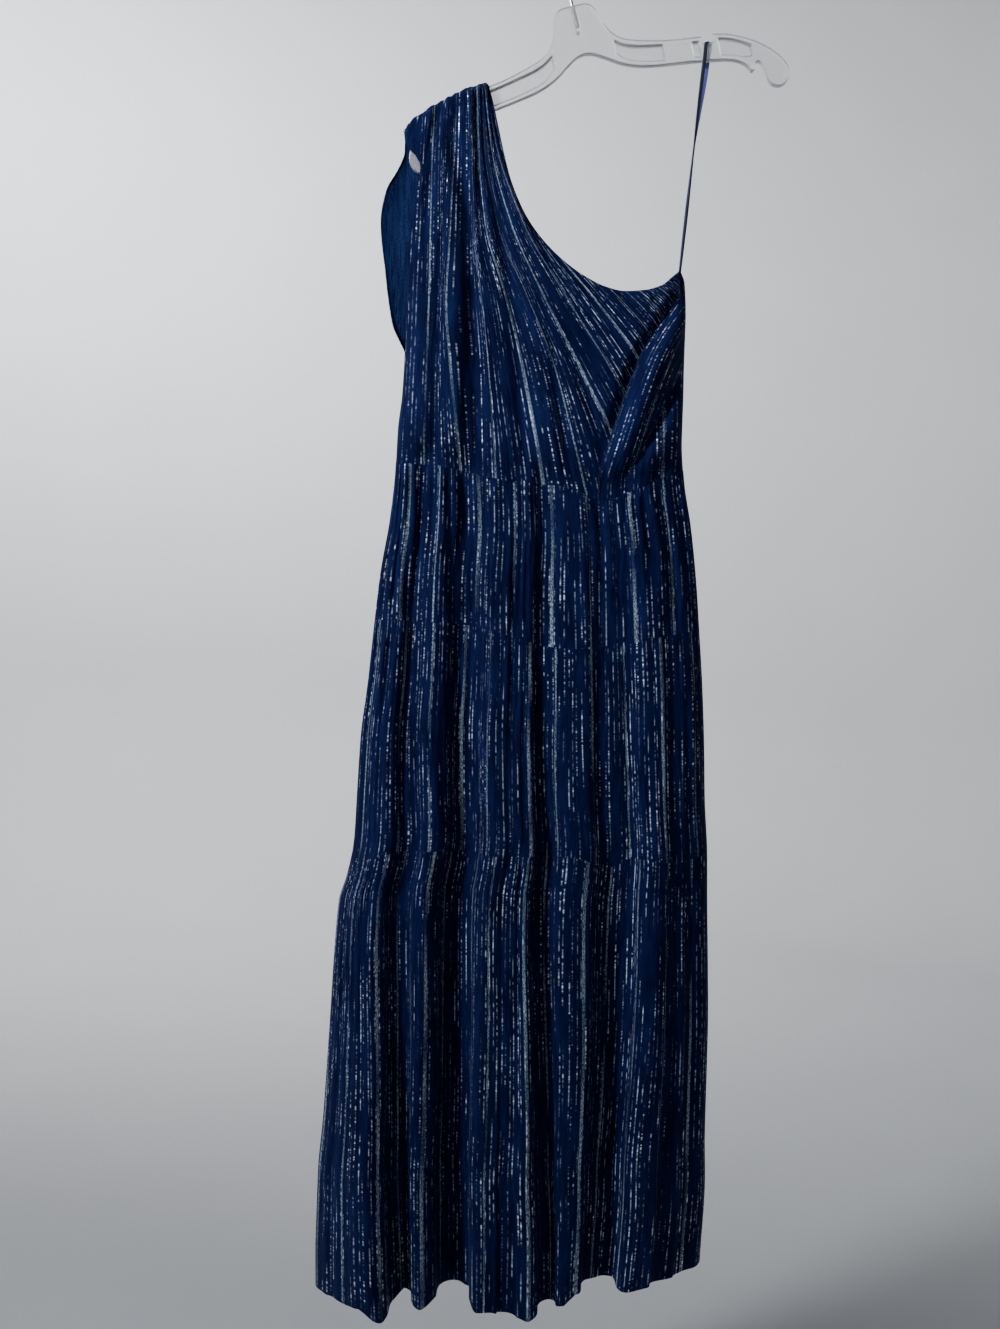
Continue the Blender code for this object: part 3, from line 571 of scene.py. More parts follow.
print("single threads in one repeat:", round(REPEAT / PITCH))


# %% Silver bands
def silver_bands(tree, cloth):
    """The wide bands of the repeat, each of several threads that lie side by side."""
    across = add(tree, "SeparateXYZ", cloth)
    share = add(tree, "Math", across, 1 / REPEAT, operation="MULTIPLY")
    silver = add(tree, "ValToRGB", add(tree, "Math", share, operation="FRACT"))
    ramp = silver.node.color_ramp
    ramp.interpolation = "CONSTANT"
    ramp.elements.remove(ramp.elements[1])
    ramp.elements[0].color = (0, 0, 0, 1)
    for start, width, bright in BANDS:
        ramp.elements.new(start * MM / REPEAT).color = (bright, bright, bright, 1)
        ramp.elements.new((start + width) * MM / REPEAT).color = (0, 0, 0, 1)
    rows = (
        (26, 9, 7, 2),  # a band fades in and out every 110 mm or so
        (750, 330, 11, 2),  # its strands are 1.3 mm apart, in dashes of 3 mm
    )
    limits = ((0.36, 0.62, 0), (0.40, 0.66, 0.1))
    for field, (low, high, least) in zip(streaks(tree, cloth, rows), limits):
        shown = add(tree, "MapRange", field, low, high, least)
        silver = add(tree, "Math", silver, shown, operation="MULTIPLY")
    return silver


# %% Single threads
def single_threads(tree, cloth):
    """Single threads, each with its own place, brightness and breaks, and painted highlights on
    them where a thread would glint.
    """
    place = add(tree, "SeparateXYZ", cloth).node.outputs
    cells = add(tree, "Math", place["X"], 1 / PITCH, operation="MULTIPLY")
    number = add(tree, "Math", cells, operation="FLOOR")
    chance = {"named": {"W": number}, "output": "Color", "noise_dimensions": "1D"}
    own = add(tree, "SeparateColor", add(tree, "TexWhiteNoise", **chance)).node.outputs
    centre = add(tree, "MapRange", own["Red"], 0, 1, 0.18, 0.82)
    inside = add(tree, "Math", cells, operation="FRACT")
    off = add(tree, "Math", inside, centre, operation="SUBTRACT")
    off = add(tree, "Math", off, operation="ABSOLUTE")
    half = THREAD_WIDTH / PITCH / 2
    line = add(tree, "MapRange", off, half * 1.3, half * 0.7)
    # A painted glint is drawn wider than the thread it lies on.
    wide = add(tree, "MapRange", off, half * 1.8, half * 1.1)
    bright = add(tree, "Math", own["Green"], 1.8, operation="POWER")
    bright = add(tree, "MapRange", bright, 0, 1, 0.06, 0.85)

    # Across the threads these count whole threads, so each one breaks on its own.
    rows = (
        (3.7, 15, 17, 2),  # a thread comes and goes every 67 mm
        (5.3, 140, 19, 3),  # in dashes of 7 mm
        (9.1, 400, 23, 0),  # and it turns to the light every 2.5 mm
    )
    thread = add(tree, "CombineXYZ", number, place["Y"])
    shown, dashes, turned = streaks(tree, thread, rows)
    shown = add(tree, "MapRange", shown, 0.46, 0.58)
    dashes = add(tree, "MapRange", dashes, 0.42, 0.60)
    broken = add(tree, "Math", shown, dashes, operation="MULTIPLY")
    # More of the threads get a painted glint under a gathered seam, where they turn every way.
    more_painted_glints_by_seam = add(tree, "MapRange", place["Y"], 0.03, 0.004, 0, 0.06)
    turned = add(tree, "Math", turned, more_painted_glints_by_seam, operation="ADD")
    # Painted highlights: whiter dashes where a thread would turn to the light.
    painted_glints = add(tree, "MapRange", turned, 0.53, 0.62)
    # Patches where more painted glint shows.
    drawn = streaks(tree, cloth, [(15, 8, 47, 1)])[0]
    drawn = add(tree, "MapRange", drawn, 0.38, 0.60, 0.15)

    found = []
    for seen, *shares in ((line, broken, bright), (wide, broken, painted_glints, drawn)):
        for share in shares:
            seen = add(tree, "Math", seen, share, operation="MULTIPLY")
        found.append(seen)
    return found


# %% [markdown]
# ## Stitches along the finished edges
# The neckline, the armhole and the hem are turned in and sewn, 7 mm from the edge.
# Each stitch could be a small mesh, but at 2.5 mm long it shows only as a dimple in
# the cloth, so a bump in the material is enough.

# %% Stitches
STITCH_INSET = 0.007
STITCH_PITCH = 0.0025
STITCH_WIDTH = 0.0014


def stitch_row(tree):
    """Height of a row of stitches that runs inside each finished edge."""
    rim = add(tree, "SeparateXYZ", add(tree, "UVMap", uv_map="edge")).node.outputs
    on_row = add(tree, "Math", rim["Y"], STITCH_INSET, STITCH_WIDTH / 2, operation="COMPARE")
    turns = add(tree, "Math", rim["X"], 2 * math.pi / STITCH_PITCH, operation="MULTIPLY")
    wave = add(tree, "Math", turns, operation="SINE")
    return add(tree, "Math", on_row, wave, operation="MULTIPLY")


# %% The two sides of the cloth
def crinkle_viscose(right_side):
    """Navy crinkle viscose: matt and dark, with painted shade and highlight in its crinkle, and
    broken silver threads on its right side, each with a painted glint here and there.
    """
    side = "right" if right_side else "wrong"
    made, tree, shader = new_material(f"crinkle_viscose_{side}_side")
    flat = add(tree, "UVMap", uv_map="cloth")
    # The threads don't run quite straight: they drift 3 mm to either side.
    (drift,) = streaks(tree, flat, [(14, 5, 3, 1)])
    drift = add(tree, "Math", drift, 0.006, -0.003, operation="MULTIPLY_ADD")
    cloth = add(tree, "VectorMath", flat, add(tree, "CombineXYZ", drift), operation="ADD")

    # The first row paints highlight: streaks paler where the crinkle's ridges would catch the
    # light.
    rows = (
        (260, 30, 29, 3),  # ridges of the crinkle, 4 mm apart and a little paler on top
        (40, 12, 31, 2),  # patches of it, 25 mm wide
        (300, 34, 37, 3),  # its relief
    )
    ridges, patches, relief = streaks(tree, cloth, rows)
    pale = add(tree, "Math", ridges, patches, operation="MULTIPLY")
    pale = add(tree, "MapRange", pale, 0.12, 0.36)
    # The weave is finer than this grain of 2 mm, which is as coarse as it needs to show.
    (grain,) = streaks(tree, flat, [(620, 420, 41, 2)])
    grain = add(tree, "MapRange", grain, 0.38, 0.62, 0, 0.55)
    # Painted shade and highlight of the crinkle: the first colour for its valleys, the second,
    # laid on by pale, for its ridge tops. The wrong side is paler and duller.
    valley, ridge = ("#060622", "#131d45") if right_side else ("#11153a", "#20325c")
    layers = [(pale, ridge), (grain, "#03062a")]
    metallic, roughness = 0, 0.85
    if right_side:
        threads, painted_glints = single_threads(tree, cloth)
        bands = silver_bands(tree, cloth)
        # Bands and threads are the cloth's own silver; the near-white glint colour is a painted
        # highlight.
        layers += [(bands, "#aac3cf"), (threads, "#c2d6f2"), (painted_glints, "#e6f1ff")]
        silver = add(tree, "Math", bands, threads, operation="MAXIMUM")
        silver = add(tree, "Math", silver, 0.2, operation="MULTIPLY")
        metal = add(tree, "Math", silver, painted_glints, operation="MAXIMUM")
        metallic = add(tree, "Math", metal, 0.55, operation="MULTIPLY")
        roughness = add(tree, "MapRange", metal, 0, 1, 0.8, 0.36)

    bump = {"Height": relief, "Strength": 0.75, "Distance": 0.0016}
    crinkle = add(tree, "Bump", named=bump)
    bump = {"Height": stitch_row(tree), "Strength": 0.5, "Distance": 0.0008, "Normal": crinkle}
    looks = {
        "Base Color": layered(tree, linear(valley), [(a, linear(b)) for a, b in layers]),
        "Metallic": metallic,
        "Roughness": roughness,
        "Specular IOR Level": 0.2,
        "Specular Tint": linear("#5678dc"),
        "Sheen Weight": 0.07,
        "Sheen Roughness": 0.5,
        "Sheen Tint": linear("#4c66b6"),
        "Normal": add(tree, "Bump", named=bump),
    }
    join(shader, looks)
    return made


cloth_sides = [crinkle_viscose(True), crinkle_viscose(False)]
print("cloth materials:", [made.name for made in cloth_sides])

# %% [markdown]
# ## From a flat grid to a hung panel
# Each panel starts as a flat grid from `create_grid` and every point is then moved to
# its place on the hung form. The grid also carries two UV maps: `cloth` says where a
# point lies on the flat cloth in metres, and `edge` how far it is from a finished edge.
# A Solidify modifier gives the cloth its thickness.

# %% Build a panel
CLOTH_THICK = 0.6
FAR_FROM_EDGE = 0.5


def in_scene(name, data):
    """A new object in the scene, of a mesh, a curve, a light or a camera."""
    obj = bpy.data.objects.new(name, data)
    bpy.context.scene.collection.objects.link(obj)
    return obj


def from_shape(name, shape):
    """A new mesh object in the scene, of a finished shape."""
    mesh = bpy.data.meshes.new(name)
    shape.to_mesh(mesh)
    shape.free()
    return in_scene(name, mesh)


def thicken(obj, thickness):
    """Gives a thin piece its thickness, half to either side; returns the modifier."""
    wall = obj.modifiers.new("thickness", "SOLIDIFY")
    wall.thickness = thickness * MM
    wall.offset = 0
    return wall


def moved_grid(columns, points, **maps):
    """A grid with its points moved to x, y and drop, row by row, and its UV maps."""
    grid = bmesh.new()
    sides = {"x_segments": columns - 1, "y_segments": len(points) // columns - 1}
    bmesh.ops.create_grid(grid, size=0.5, **sides)
    grid.verts.sort(key=lambda vertex: vertex.co.x - 1000 * vertex.co.y)
    grid.verts.index_update()
    for vertex, (x, y, drop) in zip(grid.verts, points):
        vertex.co = (x * MM, y * MM, -drop * MM)
    layers = [(grid.loops.layers.uv.new(name), places) for name, places in maps.items()]
    for face in grid.faces:
        face.smooth = True
        for loop in face.loops:
            for layer, places in layers:
                loop[layer].uv = places[loop.vert.index]
    return grid


def shares(across, down):
    """Both shares of every point of a grid, row by row."""
    s, t = np.meshgrid(across, down)
    return s.ravel(), t.ravel()


def panel(name, parent, facing, columns, places, flat, away):
    """One thin cloth panel: where its points hang, where they lie in the flat cloth, and
    how far they are from a finished edge."""
    maps = {"cloth": [*zip(*flat)], "edge": [*zip(flat[0], away)]}
    grid = moved_grid(columns, [*zip(*places)], **maps)
    grid.normal_update()
    looks = sum(face.normal.y * face.calc_area() for face in grid.faces)
    if looks * facing < 0:
        bmesh.ops.reverse_faces(grid, faces=grid.faces)
    obj = from_shape(name, grid)
    for finish in cloth_sides:
        obj.data.materials.append(finish)
    thicken(obj, CLOTH_THICK).material_offset = 1
    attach(obj, "root")
    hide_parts(parent)
    return obj


def tier_rows(count, length):
    """Shares down a tier: a 3 mm seam allowance, rows closer together at the top, and one
    half a millimetre above the lower edge, so that the shading turns only at the edge."""
    allowance = 3 * MM / length
    rows = np.linspace(0, 1, count + 1) ** 1.6
    return np.concatenate([[-allowance], rows[:-1], [1 - allowance / 6, 1]])


def tier_columns(count):
    """Shares across a tier, closest together where the cloth turns round the side seam."""
    ends = np.array([0, 0.0002, 0.0006, 0.0013, 0.0024])
    return np.concatenate([ends, np.linspace(0.004, 0.996, count - 9), 1 - ends[::-1]])


def run_across(place):
    """A line of shares across a tier and how much of the cloth lies before each."""
    line = np.linspace(0, 1, 4001)
    x, y, _ = place(line, 0 * line + 0.6)
    run = np.concatenate([[0], np.cumsum(np.hypot(np.diff(x), np.diff(y)))])
    return line, run / run[-1]


print("cloth thickness:", CLOTH_THICK, "mm")

# %% [markdown]
# ## The skirt
# Three tiers, each a straight strip gathered to the one above. A strip's flat width is
# longer than the seam it is sewn to, and longer again for each lower tier. The
# threads of one tier don't meet those of the next, so each has its own start. Three
# millimetres of each strip go up behind the cloth above it, as its seam allowance.

# %% Make the six skirt panels
# tier: flat width of front and back, flat length, columns, rows
TIERS = {
    1: (0.42, 0.39, 0.175, 230, 24),
    2: (0.54, 0.48, 0.247, 230, 30),
    3: (0.74, 0.66, 0.475, 250, 52),
}
SKIRT_SIDES = (
    ("front", -1, FRONT_SEAMS, FRONT_FOLDS, FRONT_DEPTH),
    ("back", 1, BACK_SEAMS, BACK_FOLDS, BACK_DEPTH),
)


def make_tier(number, side, facing, seams, folds, depth):
    """One tier's front or back, from its strip of flat cloth."""
    front_width, back_width, length, columns, rows = TIERS[number]
    width = front_width if facing < 0 else back_width
    start = 0.061 * number + (0.03 if facing > 0 else 0)
    node = f"skirt_tier_{number}_{side}"
    place = tier_place(number, seams, folds, depth, facing)
    line, run = run_across(place)
    across = tier_columns(columns)
    s, t = shares(across, tier_rows(rows, length))
    cloth = start + np.interp(s, line, run) * width, t * length
    away = (1 - t) * length if number == 3 else FAR_FROM_EDGE + 0 * t
    made = panel(f"{node}_cloth", node, facing, len(across), place(s, t), cloth, away)
    return made


skirt = [make_tier(number, *side) for side in SKIRT_SIDES for number in TIERS]
print([f"{obj.name}: {len(obj.data.polygons)} faces" for obj in skirt])

# %% [markdown]
# ## The bodice panels
# Front and back are cut alike at the shoulder, the neck and the waist. The columns
# of the grid crowd together where the neckline is steep, so that its edge stays
# smooth.

# %% Make the bodice
# where the bodice's cloth starts in the repeat of the threads, in metres
BODICE_START = 0.4


def bodice_columns(count):
    half = np.linspace(0, 1, count // 2 + 1)
    neck = SHOULDER_SHARE + (1 - SHOULDER_SHARE) * half[1:] ** 1.25
    return np.concatenate([SHOULDER_SHARE * half, neck])


def bodice_rows(count):
    """Close together over the hanger's arm, then even to the waist."""
    first = np.array([0, 0.003, 0.007, 0.012, 0.018, 0.026])
    return np.concatenate([first, np.linspace(0.036, 1, count)[:-1], [0.999, 1]])


def make_bodice(side, facing, drapes, seams, folds, depths):
    """The bodice's front or back."""
    node = f"bodice_{side}"
    across = bodice_columns(220)
    s, t = shares(across, bodice_rows(84))
    x, y, drop = bodice_place(s, t, facing, drapes, seams, folds, depths)
    thread = thread_under_roll if facing < 0 else thread_across
    cloth = thread(x, drop) * MM + BODICE_START, drop * MM
    far = 1000 * FAR_FROM_EDGE
    from_neck = np.where(s > SHOULDER_SHARE, drop - read(BODICE_TOP, 2, s), far)
    from_arm = x - read(ARMHOLE, 1 if facing < 0 else 2, drop)
    away = np.minimum(from_neck, np.where(drop < UNDERARM_DROP, from_arm, far)) * MM
    made = panel(f"{node}_cloth", node, facing, len(across), (x, y, drop), cloth, away)
    return made


bodice = [
    make_bodice(
        "front", -1, FRONT_DRAPES, FRONT_SEAMS, FRONT_FOLDS, FRONT_DEPTH
    ),
    make_bodice("back", 1, BACK_DRAPES, BACK_SEAMS, BACK_FOLDS, BACK_DEPTH),
]
print([f"{obj.name}: {len(obj.data.polygons)} faces" for obj in bodice])

# %% [markdown]
# ## The hanging loop
# A narrow satin ribbon is sewn in at the right underarm and doubled over the notch of
# the hanger, to carry the side that has no shoulder. Pulled tight, it bunches
# towards its foot and shows flat at the top. It is a narrow grid laid along a line, which
# lets each row turn by itself, as a curve's bevel would not.

# %% Make the ribbon
HANGER_TILT = math.radians(15.8)
HOOK_CENTRE_Z = 181
HOOK_INNER_RADIUS = 20
HANGER_THICK = 7
LOOP_THICK = 0.7
LOOP_FOOT = (143.2, 362)
LOOP_FOOT_DEPTH = 0.9
RIBBON_COLUMNS = 5
# length of ribbon from one row of points to the next, in metres
RIBBON_ROW = 0.009
# share of the way up, and how far the ribbon is turned edge-on there, in degrees
RIBBON_TURNS = ((0, 0.28, 0.5, 0.72, 0.9), (50, 52, 66, 36, 0))
# shares of the ribbon's spread and of its distance from the middle, then the sag
LOOP_CROWN = (
    (-1, -1, 1.6), (-0.93, -0.95, 0.5), (-0.7, -0.82, 0), (0, 0, -0.1), (0.7, 0.82, 0),
    (0.93, 0.95, 0.5), (1, 1, 1.6),
)


def hung(x, z):
    """World x and z, in millimetres, of a point of the upright hanger."""
    sine, cosine = math.sin(HANGER_TILT), math.cos(HANGER_TILT)
    z = z - HOOK_CENTRE_Z
    return x * cosine - z * sine, x * sine + z * cosine - HOOK_INNER_RADIUS


def ribbon_line(spread=2.9, steps=28):
    """Middle line of the loop: x, y, drop and how far it is up from the foot."""
    notch_x, notch_z = hung(136, 52.6)
    slope = math.tan(HANGER_TILT)
    beside = HANGER_THICK / 2 + 1.1
    crown = -(notch_z + 0.8)
    over = [
        (notch_x + a * spread, y * beside, crown + below - a * spread * slope, 1)
        for a, y, below in LOOP_CROWN
    ]
    front, back = [], []
    for step in range(steps):
        share = step / steps
        x = LOOP_FOOT[0] + (over[0][0] - LOOP_FOOT[0]) * share
        y = LOOP_FOOT_DEPTH + (beside - LOOP_FOOT_DEPTH) * float(eased(share * 1.2))
        drop = LOOP_FOOT[1] + (over[0][2] - LOOP_FOOT[1]) * share
        apart = 2 * spread * float(eased((share - 0.5) / 0.5))
        bow = 0.5 * math.sin(7 * share)
        front.append((x + bow, -y, drop, share))
        back.append((x + apart - bow, y, drop, share))
    return front + over + back[::-1]


def make_ribbon():
    """The ribbon's strip, laid along its line and cupped a little, then thickened."""
    points, flat = [], []
    for row, (x, y, drop, share) in enumerate(ribbon_line()):
        turn = math.radians(float(through(*RIBBON_TURNS, share)))
        tilt = HANGER_TILT * share
        outward = -1 if y < 0 else 1
        for number in range(RIBBON_COLUMNS):
            side = number / (RIBBON_COLUMNS - 1) - 0.5
            wide = side * (3.6 + 0.9 * share)
            across = wide * math.cos(turn)
            cup = 0.35 * (1 - (2 * side) ** 2) * (share < 0.95)
            depth = y + wide * math.sin(turn) * 0.4 + outward * cup
            points.append((x + across * math.cos(tilt), depth, drop - across * math.sin(tilt)))
            flat.append((number * 0.001, row * RIBBON_ROW))
    print("ribbon length:", round(row * RIBBON_ROW, 3), "m")
    strip = moved_grid(RIBBON_COLUMNS, points, cloth=flat)
    obj = from_shape("ribbon_loop", strip)
    thicken(obj, LOOP_THICK)
    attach(obj, "root")
    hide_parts("hanging_loop")
    return obj


def satin_ribbon():
    """Single-face satin, coloured in two parts along its length: the front strand dark and matt,
    in painted shade, and the strand behind the hanger violet-blue and glossy, painted lit.
    """
    made, tree, shader = new_material("single_face_satin_painted_lit_and_shaded")
    flat = add(tree, "UVMap", uv_map="cloth")
    along = add(tree, "SeparateXYZ", flat, output="Y")
    # its ribs are a tenth as wide in truth, and are drawn as coarse as they need to show
    (ribs,) = streaks(tree, flat, [(900, 700, 5, 1)])
    # Past the top of the loop the ribbon turns its other face to the front, and that strand is
    # also painted lit, while the front strand is painted in shade.
    other_face_painted_lit = add(tree, "MapRange", along, 0.27, 0.29)
    dull_face_painted_shade = layered(tree, linear("#070a1c"), [(ribs, linear("#121a3c"))])
    # This glossy violet-blue is painted light as well as the satin face's own tone.
    glossy = layered(tree, linear("#40478a"), [(ribs, linear("#656bb0"))])
    bump = {"Height": ribs, "Strength": 0.3, "Distance": 0.0003}
    looks = {
        "Base Color": layered(tree, dull_face_painted_shade, [(other_face_painted_lit, glossy)]),
        "Roughness": add(tree, "MapRange", along, 0.27, 0.29, 0.65, 0.38),
        "Normal": add(tree, "Bump", named=bump),
        "Sheen Weight": 0.15,
    }
    join(shader, looks)
    return made


ribbon = make_ribbon()
ribbon.data.materials.append(satin_ribbon())
print("ribbon points:", len(ribbon.data.vertices))

# %% [markdown]
# ## The hanger
# A dress hanger moulded in clear polystyrene: a rim runs round a thinner web, with a
# blank plate and a notch in the arm, and a hub where the wire hook goes in. The
# outline is smoothed through the measured points, the recesses are cut, and a fine
# remesh with a little smoothing rounds every edge as a mould does. A bevel would need
# clean edges, which such cuts don't leave.

# %% Outline tables of the hanger
# x and height of the right half of the upright hanger; of the web, x, top and bottom
HANGER_TOP = (
    (0, 128), (13, 127.8), (20, 124), (25, 114), (29, 101), (36, 88.5), (47, 79.5), (70, 72),
    (98, 65.7), (129.5, 61.6),
)
STRAP_NOTCH = ((130.1, 53.6), (131, 52.6), (141, 52.6), (141.9, 53.6))
HANGER_TIP = (
    (142, 61.4), (156, 58.3), (170, 52.5), (188, 42), (202, 29.5), (212, 16), (216, 4),
    (213, -6), (205, -12), (196, -10.5), (190.5, -3), (189, 8), (187, 17), (183.5, 20),
    (180.5, 17), (178.5, 11.5), (174, 11.5), (171, 18), (163, 25),
)
HANGER_UNDER = (
    (150, 30), (117, 36), (84, 40.5), (57, 45.5), (37, 53.5), (21, 64), (9, 71), (0, 73),
)
WEB = (
    (35, 80, 66), (41, 75, 59), (50, 70.5, 54), (62, 67, 50.2), (84, 63, 45.8), (100, 60, 43.5),
    (126, 56.5, 39.8), (147, 55, 36.6), (160, 51, 33), (172, 45.5, 28.5), (181, 39, 28),
)
WEB_RECESS = 2.2
# radius, then from and to which height
HUB_BOSS = (4.4, 98, 127.5)
HUB_BORE = (2.15, 103, 133)
VOXEL = 0.75
WEB_SPANS = ((35, 86), (118, 126), (147, 181), (-126, -35), (-181, -147))


def smooth_line(points, steps=5):
    """A line that runs smoothly through points, with steps between them."""
    p = [np.array(point, float) for point in points]
    p = [2 * p[0] - p[1], *p, 2 * p[-1] - p[-2]]
    line = []
    for k in range(1, len(p) - 2):
        for step in range(steps):
            t = step / steps
            a, b, c, d = p[k - 1], p[k], p[k + 1], p[k + 2]
            bend = (2 * a - 5 * b + 4 * c - d) * t**2 + (3 * b - a - 3 * c + d) * t**3
            line.append(b + 0.5 * ((c - a) * t + bend))
    return [tuple(point) for point in line] + [tuple(p[-2])]


def hanger_outline():
    half = smooth_line(HANGER_TOP) + list(STRAP_NOTCH)
    half += smooth_line(HANGER_TIP + HANGER_UNDER)
    return half + [(-x, z) for x, z in reversed(half) if x > 0.5]


def web_outline(start, end):
    side = 1 if start > 0 else -1
    near, far = sorted((abs(start), abs(end)))
    stations = np.linspace(near, far, 9)
    upper = [(side * x, read(WEB, 1, x)) for x in stations]
    lower = [(side * x, read(WEB, 2, x)) for x in stations]
    return upper + lower[::-1]


def finished_mesh(obj, *tools):
    """A rough object's mesh with its modifiers applied; the rough objects go."""
    graph = bpy.context.evaluated_depsgraph_get()
    mesh = bpy.data.meshes.new_from_object(obj.evaluated_get(graph))
    for rough in (obj, *tools):
        bpy.data.objects.remove(rough)
    return mesh


def hang(name, mesh):
    """Puts a mesh of the upright hanger into the scene, tilted as it hangs."""
    lift = Matrix.Translation((0, 0, -HOOK_CENTRE_Z * MM))
    turn = Matrix.Rotation(-HANGER_TILT, 4, "Y")
    drop = Matrix.Translation((0, 0, -HOOK_INNER_RADIUS * MM))
    mesh.transform(drop @ turn @ lift)
    mesh.shade_smooth()
    return in_scene(name, mesh)


def slab(shape, outline, near, far):
    """Adds an outline of x and z, made solid between two values of y, to a shape."""
    face = shape.faces.new([shape.verts.new((x * MM, near * MM, z * MM)) for x, z in outline])
    solid = bmesh.ops.extrude_face_region(shape, geom=[face])
    moved = [item for item in solid["geom"] if isinstance(item, bmesh.types.BMVert)]
    bmesh.ops.translate(shape, verts=moved, vec=(0, (far - near) * MM, 0))
    bmesh.ops.recalc_face_normals(shape, faces=shape.faces)


def rod(name, radius, low, high):
    """An upright round bar between two heights."""
    shape = bmesh.new()
    size = {"radius1": radius * MM, "radius2": radius * MM, "depth": (high - low) * MM}
    bmesh.ops.create_cone(shape, cap_ends=True, segments=32, **size)
    bmesh.ops.translate(shape, verts=shape.verts, vec=(0, 0, (high + low) / 2 * MM))
    return from_shape(name, shape)


print("hanger outline points:", len(hanger_outline()))


# %% Make the hanger's body
def make_hanger():
    """The hanger as moulded: a slab with recesses and a hub, its edges rounded."""
    half = HANGER_THICK / 2
    body = bmesh.new()
    slab(body, hanger_outline(), -half, half)
    blank = from_shape("hanger_blank", body)
    recesses = bmesh.new()
    for side in (-1, 1):
        for start, end in WEB_SPANS:
            near, far = side * (half - WEB_RECESS), side * (half + 2)
            slab(recesses, web_outline(start, end), near, far)
    tools = [
        ("DIFFERENCE", from_shape("web_recesses", recesses)),
        ("UNION", rod("hub_boss", *HUB_BOSS)),
        ("DIFFERENCE", rod("hub_bore", *HUB_BORE)),
    ]
    for operation, tool in tools:
        step = blank.modifiers.new("cut", "BOOLEAN")
        step.operation = operation
        step.object = tool
    remesh = blank.modifiers.new("mould", "REMESH")
    remesh.mode = "VOXEL"
    remesh.voxel_size = VOXEL * MM
    soften = blank.modifiers.new("soften", "SMOOTH")
    soften.factor = 0.5
    soften.iterations = 5
    mesh = finished_mesh(blank, *(tool for _, tool in tools))
    obj = hang("moulded_hanger", mesh)
    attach(obj, "root")
    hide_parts("hanger_body")
    return obj


def clear_polystyrene():
    """Crystal polystyrene, injection moulded: clear, glossy, faintly hazed by use."""
    made, tree, shader = new_material("crystal_polystyrene")
    place = add(tree, "TexCoord", output="Object")
    # haze in spots of 11 mm
    haze = add(tree, "TexNoise", place, named={"Scale": 90, "Detail": 3})
    bump = {"Height": haze, "Strength": 0.08, "Distance": 0.0004}
    looks = {
        "Base Color": linear("#fbfcfd"),
        "Roughness": add(tree, "MapRange", haze, 0.35, 0.7, 0.10, 0.24),
        "Normal": add(tree, "Bump", named=bump),
        "Transmission Weight": 0.76,
        # Polystyrene has 1.59. With less, the arms keep the wall's tone, as in the photo.
        "IOR": 1.42,
    }
    join(shader, looks)
    return made


hanger = make_hanger()
hanger.data.materials.append(clear_polystyrene())
print("hanger faces:", len(hanger.data.polygons))

# %% [markdown]
# ## The hook
# A steel wire, bent over a former and chrome plated. It is a curve with a round
# bevel, made a mesh so that its place is in its points.

# %% Make the hook
WIRE_RADIUS = 1.8


def make_hook():
    """The hook's wire along its middle line, as a mesh."""
    radius = HOOK_INNER_RADIUS + WIRE_RADIUS
    stem = [(0, 103.4), (0, 112), (0, 120), (0, 130), (0, 138)]
    neck = [(0.4, 146), (4, 153.5), (10, 159.5)]
    bend = []
    for step in range(20):
        angle = math.radians(-42 + step * 13.2)
        bend.append((radius * math.cos(angle), HOOK_CENTRE_Z + radius * math.sin(angle)))
    points = smooth_line(stem + neck + bend + [(-23.6, 171.5)], 4)
    curve = bpy.data.curves.new("hook_line", "CURVE")
    curve.dimensions = "3D"
    curve.bevel_depth = WIRE_RADIUS * MM
    curve.bevel_resolution = 5
    curve.use_fill_caps = True
    line = curve.splines.new("POLY")
    line.points.add(len(points) - 1)
    for point, (x, z) in zip(line.points, points):
        point.co = (x * MM, 0, z * MM, 1)
    mesh = finished_mesh(in_scene("hook_line", curve))
    tidy = bmesh.new()
    tidy.from_mesh(mesh)
    bmesh.ops.remove_doubles(tidy, verts=tidy.verts, dist=0.01 * MM)
    bmesh.ops.recalc_face_normals(tidy, faces=tidy.faces)
    tidy.to_mesh(mesh)
    tidy.free()
    obj = hang("wire_hook", mesh)
    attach(obj, "root")
    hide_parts("hanger_hook")
    return obj


def plated_wire():
    """Chrome-plated steel wire with fine drawing marks along it."""
    made, tree, shader = new_material("chrome_plated_wire")
    place = add(tree, "TexCoord", output="Object")
    # drawing marks 1.4 mm apart, coarser than real ones so that they show
    marks = add(tree, "TexNoise", place, named={"Scale": 700, "Detail": 2})
    rough = add(tree, "MapRange", marks, 0, 1, 0.14, 0.34)
    join(shader, {"Base Color": linear("#b9bbbf"), "Metallic": 1, "Roughness": rough})
    return made


hook = make_hook()
hook.data.materials.append(plated_wire())
print("hook faces:", len(hook.data.polygons))

# %% [markdown]
# ## A pale cove
# The photo has a plain pale wall. Here the floor curves up into a wall all round, so
# there is one pale ground with no line in it from any side. A flat backdrop would do
# for the photo's view, but not for views from the side or from behind.


